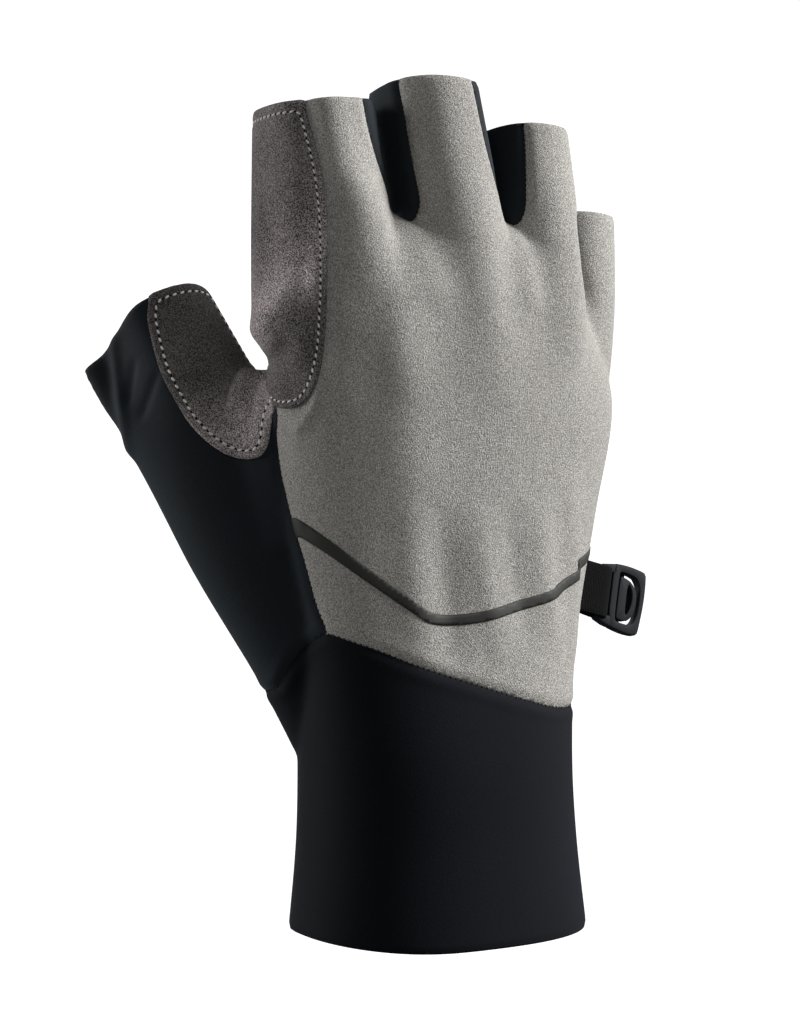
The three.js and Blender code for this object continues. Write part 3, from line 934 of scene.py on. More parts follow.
def runs(edges: Iterable[Edge]) -> list[list[Vert]]:
    """Puts edges in order.

    Args:
        edges: The edges, in any order.

    Returns:
        Runs of vertices that follow each other along the edges.
    """
    links: dict[Vert, list[Vert]] = {}
    for edge in edges:
        one, two = edge.verts
        links.setdefault(one, []).append(two)
        links.setdefault(two, []).append(one)
    ends = [vert for vert, near in links.items() if len(near) != 2]
    seen: set[tuple[Vert, Vert]] = set()
    made = []
    for start in (*ends, *links):
        for step in links[start]:
            if (start, step) in seen:
                continue
            run, here, there = [start], start, step
            while there is not None:
                seen.update({(here, there), (there, here)})
                run.append(there)
                onward = [vert for vert in links[there] if (there, vert) not in seen]
                more = len(links[there]) == 2 and bool(onward)
                here, there = there, onward[0] if more else None
            made.append(run)
    return made


@dataclass(frozen=True)
class Stitching:
    """Beads of thread set evenly along a line on the skin, in millimetres."""

    pitch: float
    length: float
    width: float
    height: float
    lift: float
    slant: float = 0.0
    shift: float = 0.5
    shortest: float = 1.2
    look: float = 0.5
    rounds: int = 3
    around: int = 8
    along: int = 5
    lot: int = 24

    def sew_runs(self, bm: BMesh, lines: Iterable[list], out: object, lift: float = 0.0) -> int:
        """Sets beads along runs of vertices.

        Args:
            bm: The bmesh that the beads go into.
            lines: The runs.
            out: The layer that keeps the vertices' way out.
            lift: How far out of the vertices' places the run lies.

        Returns:
            How many beads were set.
        """
        count = 0
        for line in lines:
            outs = np.array([vert[out] for vert in line])
            count += self.sew(bm, np.array([vert.co for vert in line]) + outs * lift, outs)
        return count

    def sew(self, bm: BMesh, places: Array, outs: Array) -> int:
        """Sets beads along a run of places.

        Args:
            bm: The bmesh that the beads go into.
            places: The run's places.
            outs: The way out of the skin at each place.

        Returns:
            How many beads were set.
        """
        for _ in range(self.rounds):
            places[1:-1] = 0.25 * places[:-2] + 0.5 * places[1:-1] + 0.25 * places[2:]
        reach = np.concatenate([[0.0], np.cumsum(np.linalg.norm(np.diff(places, axis=0), axis=1))])
        if reach[-1] < self.shortest:
            return 0
        count = max(1, round(reach[-1] / self.pitch))
        spots = (np.arange(count) + self.shift) * reach[-1] / count
        for first in range(0, count, self.lot):
            lot = bmesh.new()
            self.sew_lot(lot, places, outs, reach, spots[first:first + self.lot])
            pour(lot, bm)
        return count

    def sew_lot(self, bm: BMesh, places: Array, outs: Array, reach: Array, spots: Array) -> None:
        """Sets one lot of beads.

        Args:
            bm: The bmesh that the beads go into.
            places: The run's places.
            outs: The way out of the skin at each place.
            reach: How far along the run each place is.
            spots: How far along the run each bead is.
        """
        for at in spots:
            steps = (0.0, -self.look, self.look)
            place, before, after = (self.between(reach, places, at + step) for step in steps)
            out = Vector(self.between(reach, outs, at)).normalized()
            along = Vector(after - before)
            along = (along - out * along.dot(out)).normalized()
            turned = Matrix.Rotation(math.radians(self.slant), 3, out) @ along
            across = out.cross(turned)
            size = Matrix.Diagonal((self.length / 2, self.width / 2, self.height / 2))
            frame = Matrix((turned, across, out)).transposed() @ size
            middle = Vector(place) + out * self.lift
            matrix = Matrix.Translation(middle) @ frame.to_4x4()
            bmesh.ops.create_uvsphere(bm, u_segments=self.around, v_segments=self.along, radius=1.0,
                                      matrix=matrix)

    def between(self, reach: Array, rows: Array, at: float) -> Array:
        """A row at a distance along the run."""
        return np.array([np.interp(at, reach, rows[:, k]) for k in range(3)])


class Shader:
    """A node tree with short calls that add and join its nodes."""

    def __init__(self, tree: bpy.types.NodeTree) -> None:
        """Keeps the tree and empties it."""
        self.tree = tree
        tree.nodes.clear()

    def add(self, kind: str, settings: dict | None = None, **inputs: object) -> bpy.types.Node:
        """Adds a node.

        Args:
            kind: The node's type.
            settings: Properties of the node itself.
            inputs: Values or sockets for its inputs, with spaces written as underscores.

        Returns:
            The node.
        """
        node = self.tree.nodes.new(kind)
        for name, value in (settings or {}).items():
            setattr(node, name, value)
        for name, value in inputs.items():
            self.put(node.inputs[name.replace("_", " ")], value)
        return node

    def put(self, socket: Socket, value: object) -> None:
        """Links a socket to an input, or sets its value.

        Args:
            socket: The input.
            value: The socket that feeds it, or its constant value.
        """
        if isinstance(value, Socket):
            self.tree.links.new(value, socket)
        else:
            socket.default_value = value

    def mix(self, share: object, one: object, two: object, blend: str = "MIX") -> Socket:
        """Mixes two colours.

        Args:
            share: How much of the second one.
            one: The first colour.
            two: The second colour.
            blend: The way of mixing.

        Returns:
            The mixed colour.
        """
        node = self.tree.nodes.new("ShaderNodeMix")
        node.data_type = "RGBA"
        node.blend_type = blend
        self.put(node.inputs[0], share)
        self.put(node.inputs[6], one)
        self.put(node.inputs[7], two)
        return node.outputs[2]

    def math(self, operation: str, one: object, two: object = 0.0) -> Socket:
        """The result of a sum on two numbers.

        Args:
            operation: The sum.
            one: The first number.
            two: The second number.

        Returns:
            The result.
        """
        node = self.tree.nodes.new("ShaderNodeMath")
        node.operation = operation
        self.put(node.inputs[0], one)
        self.put(node.inputs[1], two)
        return node.outputs[0]

    def remap(self, value: object, *ends: float) -> Socket:
        """Carries a number from one range to another, held at its ends.

        Args:
            value: The number.
            ends: The low and high end of the first range, then of the second.

        Returns:
            The new number.
        """
        node = self.tree.nodes.new("ShaderNodeMapRange")
        for socket, given in zip(node.inputs, (value, *ends)):
            self.put(socket, given)
        return node.outputs[0]


def rgb(red: float, green: float, blue: float) -> Colour:
    """A colour given as 0 to 255 on a screen, as the shader's own numbers.

    Args:
        red: The red channel.
        green: The green channel.
        blue: The blue channel.

    Returns:
        The colour, with an alpha of 1.
    """
    def linear(value: float) -> float:
        """One channel."""
        share = value / 255
        return share / 12.92 if share <= 0.04045 else ((share + 0.055) / 1.055) ** 2.4
    return (*map(linear, (red, green, blue)), 1.0)


def new_group(name: str, inputs: dict[str, object], outputs: dict[str, str]) -> tuple[Shader, dict]:
    """Starts a shader node group.

    Args:
        name: The group's name.
        inputs: Each input's name and first value, a colour, a number or the word vector.
        outputs: Each output's name and socket type.

    Returns:
        The group's shader and its input sockets by name.
    """
    tree = bpy.data.node_groups.new(name, "ShaderNodeTree")
    shader = Shader(tree)
    for label, value in inputs.items():
        kind = "Vector" if value == "vector" else "Color" if isinstance(value, tuple) else "Float"
        made = tree.interface.new_socket(name=label, in_out="INPUT", socket_type=f"NodeSocket{kind}")
        if kind != "Vector":
            made.default_value = value
    for label, kind in outputs.items():
        tree.interface.new_socket(name=label, in_out="OUTPUT", socket_type=kind)
    source = tree.nodes.new("NodeGroupInput")
    return shader, {label: source.outputs[label] for label in inputs}


class Groups:
    """The effects that more than one finish uses, each a node group that is made once."""

    finer: float = 2.7
    cloud_range: Pair = (0.3, 0.7)
    speck_range: Pair = (0.38, 0.62)

    def __init__(self) -> None:
        """Makes every group."""
        self.pebble = self.make_pebble()
        self.mottle = self.make_mottle()
        self.ribs = self.make_ribs()

    def make_pebble(self) -> bpy.types.NodeTree:
        """Small uneven bumps of two sizes, as on crepe, suede or moulded plastic.

        Returns:
            The group.
        """
        shader, given = new_group(
            "pebble_grain", {"Place": "vector", "Scale": 1500.0, "Twist": 1.0, "Fine": 0.3},
            {"Height": "NodeSocketFloat"},
        )
        coarse = shader.add("ShaderNodeTexNoise", Vector=given["Place"], Scale=given["Scale"], Detail=1.5,
                            Roughness=0.5, Distortion=given["Twist"])
        finer = shader.math("MULTIPLY", given["Scale"], self.finer)
        fine = shader.add("ShaderNodeTexNoise", Vector=given["Place"], Scale=finer, Detail=2.0, Roughness=0.6)
        part = shader.math("MULTIPLY", fine.outputs[0], given["Fine"])
        total = shader.math("ADD", coarse.outputs[0], part)
        shader.add("NodeGroupOutput", Height=total)
        return shader.tree

    def make_mottle(self) -> bpy.types.NodeTree:
        """Two colours that drift into each other in soft clouds and fine specks.

        Returns:
            The group.
        """
        shader, given = new_group(
            "colour_drift",
            {"Place": "vector", "Clouds": 40.0, "Specks": 2500.0, "Speckle": 0.4,
             "Dark": (0.1, 0.1, 0.1, 1.0), "Light": (0.2, 0.2, 0.2, 1.0)},
            {"Color": "NodeSocketColor", "Share": "NodeSocketFloat"},
        )
        clouds = shader.add("ShaderNodeTexNoise", Vector=given["Place"], Scale=given["Clouds"], Detail=3.0)
        specks = shader.add("ShaderNodeTexNoise", Vector=given["Place"], Scale=given["Specks"], Detail=1.0)
        one = shader.remap(clouds.outputs[0], *self.cloud_range, 0.0, 1.0)
        two = shader.remap(specks.outputs[0], *self.speck_range, 0.0, 1.0)
        held = shader.math("SUBTRACT", 1.0, given["Speckle"])
        share = shader.math("ADD", shader.math("MULTIPLY", one, held),
                            shader.math("MULTIPLY", two, given["Speckle"]))
        shader.add("NodeGroupOutput", Color=shader.mix(share, given["Dark"], given["Light"]), Share=share)
        return shader.tree

    def make_ribs(self) -> bpy.types.NodeTree:
        """Fine ribs along one direction, slightly uneven, as on knit and webbing.

        Returns:
            The group.
        """
        shader, given = new_group(
            "fine_ribs", {"Place": "vector", "Scale": 1200.0, "Uneven": 2.0}, {"Height": "NodeSocketFloat"},
        )
        wave = shader.add("ShaderNodeTexWave", {"wave_type": "BANDS", "bands_direction": "X"},
                          Vector=given["Place"], Scale=given["Scale"], Distortion=given["Uneven"])
        shader.add("NodeGroupOutput", Height=wave.outputs[1])
        return shader.tree


@dataclass(frozen=True)
class Finish:
    """A surface: its colours, grain and gloss."""

    name: str
    dark: Colour
    light: Colour
    roughness: float = 0.9
    grain: float = 1500.0
    twist: float = 1.0
    fine: float = 0.3
    bump: float = 0.4
    depth: float = 0.15
    clouds: float = 40.0
    specks: float = 2500.0
    speckle: float = 0.4
    sheen: float = 0.0
    sheen_tint: Colour = (1.0, 1.0, 1.0, 1.0)
    specular: float = 0.5
    stretch: Triple = (1.0, 1.0, 1.0)
    ribs: float = 0.0
    rib_scale: float = 1200.0
    # Painted shade in the grain's low places and painted light on its high places: how far the colour
    # darkens, the grain's range, and how much of the darkening share lightens the high places.
    shade: float = 0.0
    shade_range: Pair = (0.35, 0.75)
    painted_peak_light: float = 0.3
    # Whether the colour is darkened and lightened by the painted shade attribute.
    painted_shading: bool = False

    def material(self, groups: Groups) -> bpy.types.Material:
        """Builds the finish as a material.

        Args:
            groups: The shared node groups.

        Returns:
            The material.
        """
        made = bpy.data.materials.new(self.name)
        made.use_nodes = True
        shader = Shader(made.node_tree)
        place = shader.add("ShaderNodeTexCoord").outputs["Object"]
        mapped = shader.add("ShaderNodeMapping", Vector=place, Scale=self.stretch).outputs[0]
        grain = shader.add("ShaderNodeGroup", {"node_tree": groups.pebble}, Place=mapped, Scale=self.grain,
                           Twist=self.twist, Fine=self.fine).outputs["Height"]
        drift = shader.add("ShaderNodeGroup", {"node_tree": groups.mottle}, Place=mapped, Clouds=self.clouds,
                           Specks=self.specks, Speckle=self.speckle, Dark=self.dark, Light=self.light)
        height = grain
        colour = drift.outputs["Color"]
        # Painted shade and painted light by the grain's height: the colour darkens in its low places and
        # lightens on its high ones.
        if self.shade:
            painted_pit_shade = shader.remap(grain, *self.shade_range, 1.0 - self.shade, 1.0 + self.shade * self.painted_peak_light)
            colour = shader.mix(1.0, colour, painted_pit_shade, "MULTIPLY")
        # Painted shade and painted light: the colour is multiplied by one less the attribute's share, darker
        # where it is above nought and lighter where below.
        if self.painted_shading:
            laid = shader.add("ShaderNodeAttribute", {"attribute_name": PAINTED_SHADE_ATTRIBUTE}).outputs["Fac"]
            colour = shader.mix(1.0, colour, shader.math("SUBTRACT", 1.0, laid), "MULTIPLY")
        if self.ribs:
            ribs = shader.add("ShaderNodeGroup", {"node_tree": groups.ribs}, Place=mapped,
                              Scale=self.rib_scale)
            height = shader.math("ADD", grain, shader.math("MULTIPLY", ribs.outputs["Height"], self.ribs))
        bump = shader.add("ShaderNodeBump", Height=height, Strength=self.bump, Distance=self.depth * MM)
        skin = shader.add("ShaderNodeBsdfPrincipled", Base_Color=colour, Normal=bump.outputs[0],
                          Roughness=self.roughness, Specular_IOR_Level=self.specular, Sheen_Weight=self.sheen,
                          Sheen_Tint=self.sheen_tint)
        shader.add("ShaderNodeOutputMaterial", Surface=skin.outputs[0])
        return made


FINISHES: tuple[Finish, ...] = (
    # shade= gives painted shade in the grain's low places and painted light on its high places.
    Finish("grey_stretch", rgb(115, 113, 109), rgb(170, 167, 162), roughness=0.95, grain=3500, twist=0.3,
           bump=1.0, depth=0.25, specular=0.2, speckle=0.85, specks=3900, stretch=(1.0, 1.0, 0.85),
           shade=0.42),
    Finish("black_stretch", rgb(15, 20, 24), rgb(22, 28, 33), roughness=0.8, grain=2800, bump=0.35,
           depth=0.2, sheen=0.06, sheen_tint=(0.65, 0.83, 1.0, 1.0), specular=0.15),
    Finish("black_knit", rgb(7, 8, 13), rgb(11, 14, 19), roughness=0.85, grain=2800, bump=0.3,
           depth=0.2, sheen=0.03, sheen_tint=(0.65, 0.8, 1.0, 1.0), specular=0.1),
    # The suede takes painted shade and painted light from its pieces' attribute.
    Finish("taupe_suede", rgb(25, 23, 23), rgb(199, 189, 188), roughness=1.0, grain=3300, twist=0.4,
           bump=1.0, depth=0.7, sheen=0.12, specular=0.1, speckle=0.78, specks=3700, clouds=75, shade=0.68,
           painted_shading=True),
    Finish("dark_film", rgb(37, 38, 35), rgb(45, 46, 43), roughness=0.65, grain=2400, bump=0.25, depth=0.12,
           specular=0.25),
    Finish("black_webbing", rgb(9, 9, 9), rgb(18, 18, 18), roughness=0.95, grain=2600, bump=0.6, depth=0.25,
           ribs=0.2, rib_scale=420, specular=0.08),
    Finish("grey_plastic", rgb(20, 22, 25), rgb(27, 29, 33), roughness=0.6, grain=3500, bump=0.2, depth=0.1,
           specular=0.07),
    Finish("pale_thread", rgb(196, 192, 187), rgb(236, 232, 227), roughness=0.7, grain=5000, bump=0.3,
           depth=0.05),
    # Black thread of the seams, also the dark beads that are painted shade of the stitch holes.
    Finish("black_thread_and_hole_shade", rgb(8, 9, 11), rgb(18, 20, 22), roughness=0.75, grain=5000, bump=0.3, depth=0.05,
           specular=0.2),
)


NOTCH_LOOP = Stitching(1.1, 0.5, 0.5, 0.3, -0.05)
THUMB_LOOP = Stitching(1.25, 0.5, 0.8, 0.4, 0.0)
CUFF_LOOP = Stitching(1.3, 0.5, 0.7, 0.36, 0.0)

NOTCH_PANELS = (Panel.INDEX_MIDDLE, Panel.MIDDLE_RING, Panel.RING_LITTLE)

SEAMS: tuple[tuple[tuple[Panel, Panel], Stitching], ...] = (
    *(((side, notch), NOTCH_LOOP) for side in (Panel.BACK, Panel.PALM) for notch in NOTCH_PANELS),
    *((pair, THUMB_LOOP) for pair in ((Panel.BACK, Panel.THUMB), (Panel.PALM, Panel.THUMB),
                                      (Panel.BACK, Panel.PALM))),
    *(((panel, Panel.CUFF), CUFF_LOOP) for panel in (Panel.BACK, Panel.PALM, Panel.THUMB)),
)


@dataclass
class Glove:
    """The whole glove: it builds each piece, dresses it and hands it to the frame."""

    form: GloveForm = field(default_factory=GloveForm)
    pattern: Pattern = field(default_factory=Pattern)
    overlays: Overlays = field(default_factory=Overlays)
    materials: dict[str, bpy.types.Material] = field(default_factory=dict)
    wall: float = 1.2
    thumb_floor: float = 105
    patch_lift: float = 0.75
    patch_thickness: float = 0.6
    stripe_lift: float = 0.28
    stripe_thickness: float = 0.22
    seam_dip: Pair = (0.45, 0.9)
    seam_ridge: Triple = (0.12, 2.2, 1.2)
    rim_dip: Pair = (0.3, 0.7)
    patch_margin: float = 1.5
    layer_margin: float = 3.0

    def beyond(self, places: Array) -> Array:
        """Signed distance beyond the nearest rim, positive outside the glove.

        Args:
            places: The places, one a row.

        Returns:
            The distances.
        """
        on_thumb = (self.pattern.thumb(places) < 0) & (places[:, 2] > self.thumb_floor)
        height = np.where(on_thumb, self.form.rims()[-1].height(places), self.form.finger_heights(places))
        return np.maximum(height, self.form.cuff_rim(places))

    def hand_only(self, places: Array) -> Array:
        """Positive where the skin is neither cuff, thumb nor notch."""
        pattern = self.pattern
        return np.minimum.reduce([part(places) for part in (pattern.cuff, pattern.thumb, *pattern.notches)])

    def cut_skin(self) -> Skin:
        """Makes the skin and cuts it along every seam and rim.

        Returns:
            The skin, with its panels numbered.
        """
        pattern = self.pattern
        skin = Skin(self.form.skin())
        log.info("skin has %d faces", len(skin.bm.faces))
        skin.cut(self.beyond, Line.RIM)
        skin.cut(pattern.cuff, Line.CUFF)
        skin.cut(pattern.thumb, Line.THUMB, pattern.cuff)
        for notch in pattern.notches:
            skin.cut(notch, Line.NOTCH,
                     lambda places: np.minimum(pattern.cuff(places), pattern.thumb(places)))
        skin.cut(pattern.back, Line.BACK, self.hand_only)
        outside = self.beyond(skin.centres()) > 0
        dropped = [face for face, gone in zip(list(skin.bm.faces), outside) if gone]
        bmesh.ops.delete(skin.bm, geom=dropped, context="FACES")
        for face, part in zip(skin.bm.faces, self.parts(skin.centres())):
            face[skin.part] = int(part)
        return skin

    def shape_skin(self, skin: Skin) -> None:
        """Presses the seams in and raises the folds.

        Args:
            skin: The skin, which keeps its way out afterwards.
        """
        places = places_of(skin.bm)
        seams = skin.distance(Line.CUFF, Line.THUMB, Line.NOTCH, Line.BACK)
        rims = skin.distance(Line.RIM)
        covered = np.minimum(self.overlays.index(places), self.overlays.thumb(places))
        dip, dip_width = self.seam_dip
        ridge, ridge_at, ridge_width = self.seam_ridge
        rim, rim_width = self.rim_dip
        relief = ridge * bell(seams - ridge_at, ridge_width) - dip * bell(seams, dip_width)
        amount = np.sum([fold.amount(places) for fold in FOLDS], axis=0)
        skin.push(amount + relief * ease(covered / self.patch_margin) - rim * bell(rims, rim_width))

    def parts(self, places: Array) -> Array:
        """The number of the panel that each place belongs to.

        Args:
            places: The places, one a row.

        Returns:
            The numbers.
        """
        numbers = np.full(len(places), Panel.PALM)
        numbers[self.pattern.back(places) < 0] = Panel.BACK
        for notch, panel in zip(self.pattern.notches, NOTCH_PANELS):
            numbers[notch(places) < 0] = panel
        numbers[self.pattern.thumb(places) < 0] = Panel.THUMB
        numbers[self.pattern.cuff(places) < 0] = Panel.CUFF
        return numbers

    def dress(self, piece: Object, finish: str, node: str | None = None) -> None:
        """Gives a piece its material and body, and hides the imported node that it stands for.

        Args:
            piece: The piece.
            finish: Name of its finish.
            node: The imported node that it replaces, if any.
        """
        piece.data.materials.clear()
        piece.data.materials.append(self.materials[finish])
        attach(piece, BODY)
        if node:
            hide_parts(node)
        log.info("%s: %d faces", piece.name, len(piece.data.polygons))

    def panels(self, skin: Skin) -> None:
        """Parts the skin into its sewn panels.

        Args:
            skin: The shaped skin.
        """
        numbers = np.array([face[skin.part] for face in skin.bm.faces])
        for panel, (node, finish) in PANELS.items():
            sheet = skin.panel(numbers == panel)
            piece = piece_of(sheet.walled(0.0, self.wall), node + "_cloth")
            self.dress(piece, finish, node)

    def overlay(self, skin: Skin, layer: "Layer") -> None:
        """Lays a patch or stripe on the skin, with its stitches.

        Args:
            skin: The shaped skin.
            layer: What is laid, where and how.
        """
        numbers = np.array([face[skin.part] for face in skin.bm.faces])
        near = layer.boundary(skin.centres()) < self.layer_margin
        sheet = skin.panel(np.isin(numbers, layer.panels) & near)
        for vert in sheet.bm.verts:
            vert[sheet.line] = 0
        sheet.cut(layer.boundary, Line.EDGE)
        sheet = sheet.panel(layer.boundary(sheet.centres()) < 0)
        if layer.rim:
            sheet.cut(layer.stitch_row, Line.STITCH)
        for vert, step in zip(sheet.bm.verts, layer.dent(places_of(sheet.bm))):
            vert.co = vert.co - vert[sheet.out] * float(step)
        if layer.rim:
            self.stitches(sheet, layer)
        piece = piece_of(sheet.walled(layer.lift, layer.thickness), layer.node + "_layer")
        # Painted shade and painted light on a patch, as a point attribute that its finish reads.
        layer.brush(piece)
        self.dress(piece, layer.finish, layer.node)

    def stitches(self, sheet: Skin, layer: "Layer") -> None:
        """Sews a layer's row of stitches: pale beads, with a dark bead between each two as painted shade of
        the needle hole.

        Args:
            sheet: The layer's outer face.
            layer: The layer.
        """
        lines = runs(edge for edge in sheet.bm.edges
                     if all(vert[sheet.line] == Line.STITCH for vert in edge.verts))
        # The second row of beads is painted shade: dark beads where the needle holes lie.
        for stitch, finish in ((layer.stitch, "pale_thread"), (layer.hole, "black_thread_and_hole_shade")):
            bm = bmesh.new()
            count = stitch.sew_runs(bm, lines, sheet.out, layer.lift)
            log.info("%s: %d beads of %s", layer.node, count, finish)
            self.thread(bm, f"{layer.node}_{finish}", finish)

    def thread(self, bm: BMesh, name: str, finish: str) -> None:
        """Makes a piece of thread from beads in millimetres."""
        self.dress(piece_of(bm, name), finish)

    def seams(self, skin: Skin) -> None:
        """Sews the small loops of thread that show along the seams between panels.

        Args:
            skin: The shaped skin.
        """
        between: dict[frozenset[int], list[Edge]] = {}
        for edge in skin.bm.edges:
            numbers = [face[skin.part] for face in edge.link_faces]
            if len(numbers) == 2 and numbers[0] != numbers[1]:
                between.setdefault(frozenset(numbers), []).append(edge)
        bm = bmesh.new()
        for pair, stitch in SEAMS:
            sewn = stitch.sew_runs(bm, runs(between.get(frozenset(pair), [])), skin.out)
            log.info("seam %s to %s: %d loops of thread", pair[0].name, pair[1].name, sewn)
        self.thread(bm, "seam_thread", "black_thread_and_hole_shade")

    def build(self) -> None:
        """Builds every piece in order."""
        groups = Groups()
        self.materials = {finish.name: finish.material(groups) for finish in FINISHES}
        skin = self.cut_skin()
        self.shape_skin(skin)
        self.seams(skin)
        self.panels(skin)
        for layer in self.layers():
            self.overlay(skin, layer)
        skin.bm.free()
        clip = Clip()
        self.dress(clip.build(), "grey_plastic", "clip")
        self.dress(Strap(clip=clip).build(), "black_webbing", "strap")

    def layers(self) -> tuple["Layer", ...]:
        """The patches and the stripe.

        Returns:
            The layers, in the order that they are laid.
        """
        index_rim, *_, thumb_rim = self.form.rims()
        overlays = self.overlays
        patch = (self.patch_lift, self.patch_thickness)
        return (
            Layer("index_patch", (Panel.BACK, Panel.PALM), overlays.index, "taupe_suede", *patch,
                  rim=index_rim, inset=1.4, rim_inset=2.2,
                  stitch=Stitching(1.62, 1.15, 0.5, 0.5, 0.02, slant=20),
                  # Dark beads as painted shade of the needle holes.
                  hole=Stitching(1.62, 0.7, 0.4, 0.3, 0.02, shift=0.0),
                  # Bands of painted shade and painted light across the index patch, along a slanting way:
                  # above nought darker, below nought lighter.
                  painted_shade_way=(-0.764, 0.645),
                  painted_shade=((103, 0.5), (107, 0.45), (109.5, 0.25), (112, -0.3), (115, -0.6), (117.5, -0.4),
                       (121, 0.0), (128, 0.35), (134, 0.38), (142, 0.28))),
            Layer("thumb_patch", (Panel.THUMB,), overlays.thumb, "taupe_suede", *patch,
                  rim=thumb_rim, inset=1.8, rim_inset=1.9,
                  stitch=Stitching(1.95, 1.25, 0.6, 0.5, 0.02, slant=14),
                  # Dark beads as painted shade of the needle holes.
                  hole=Stitching(1.95, 0.95, 0.45, 0.3, 0.02, shift=0.0),
                  # Painted shade towards the top of the thumb patch and painted light near its lower part.
                  painted_shade_way=(0.45, -0.89),
                  painted_shade=((-150, 0.62), (-133, 0.6), (-128, 0.3), (-122, -0.1), (-117, -0.35), (-112, -0.1))),
            Layer("stripe", (Panel.BACK,), overlays.stripe_field, "dark_film", self.stripe_lift,
                  self.stripe_thickness, round_off=0.08),
        )


@dataclass(frozen=True)
class Layer:
    """Something flat that is laid on the skin: a suede patch or the film stripe."""

    node: str
    panels: tuple[Panel, ...]
    boundary: Field
    finish: str
    lift: float
    thickness: float
    round_off: float = 0.35
    round_width: float = 0.5
    groove: float = 0.3
    groove_width: float = 0.7
    roll: float = 0.12
    roll_width: float = 1.1
    rim: Rim | None = None
    inset: float = 0.0
    rim_inset: float = 0.0
    stitch: Stitching | None = None
    # Dark beads between the stitches, painted shade of the needle holes.
    hole: Stitching | None = None
    # Way and steps of the painted shade and painted light on a patch: above nought darker, below nought
    # lighter.
    painted_shade_way: Pair = (0.0, 1.0)
    painted_shade: Outline = ()

    def stitch_row(self, places: Array) -> Array:
        """Signed distance to the row of stitches, which runs inside the edge and further inside the rim."""
        return np.maximum(self.boundary(places) + self.inset, self.rim.height(places) + self.rim_inset)

    def dent(self, places: Array) -> Array:
        """How far each place is pressed in: at the edge, and along the stitches with a roll beside them.

        Args:
            places: The places, one a row.

        Returns:
            The distances.
        """
        edge = self.boundary(places)
        dent = self.round_off * bell(edge, self.round_width)
        if not self.rim:
            return dent
        groove = self.groove * bell(self.stitch_row(places), self.groove_width)
        return dent + groove - self.roll * bell(edge + self.roll_width, self.roll_width)

    def brush(self, piece: Object) -> None:
        """Paints shade and light on a piece as a point attribute: how much darker each point is, by steps
        along a way across it, lighter where below nought.

        Args:
            piece: The layer's piece.
        """
        if not self.painted_shade:
            return
        places = np.array([vert.co for vert in piece.data.vertices]) / MM
        along = places @ SIDE * self.painted_shade_way[0] + places[:, 2] * self.painted_shade_way[1]
        steps, shares = np.array(self.painted_shade).T
        laid = piece.data.attributes.new(PAINTED_SHADE_ATTRIBUTE, "FLOAT", "POINT")
        laid.data.foreach_set("value", np.interp(along, steps, shares).astype(np.float32))


def across_rays(outline: Sequence[Sequence[float]], middle: Pair, count: int) -> list[tuple]:
    """Points where evenly turned rays from a middle leave a convex outline.

    Args:
        outline: The outline's points, in order.
        middle: A place inside it.
        count: How many rays.

    Returns:
        The points, in the rays' order.
    """
    points = np.array(outline, float) - np.array(middle)
    after = np.roll(points, -1, axis=0) - points
    made = []
    for turn in np.linspace(0, math.tau, count, endpoint=False):
        ray = np.array([math.cos(turn), math.sin(turn)])
        cross = ray[0] * after[:, 1] - ray[1] * after[:, 0]
        safe = np.where(np.abs(cross) < TINY, TINY, cross)
        reach = (points[:, 0] * after[:, 1] - points[:, 1] * after[:, 0]) / safe
        share = (points[:, 0] * ray[1] - points[:, 1] * ray[0]) / safe
        good = (reach > 0) & (share >= -1e-6) & (share <= 1 + 1e-6)
        made.append(tuple(ray * reach[good].max() + np.array(middle)))
    return made


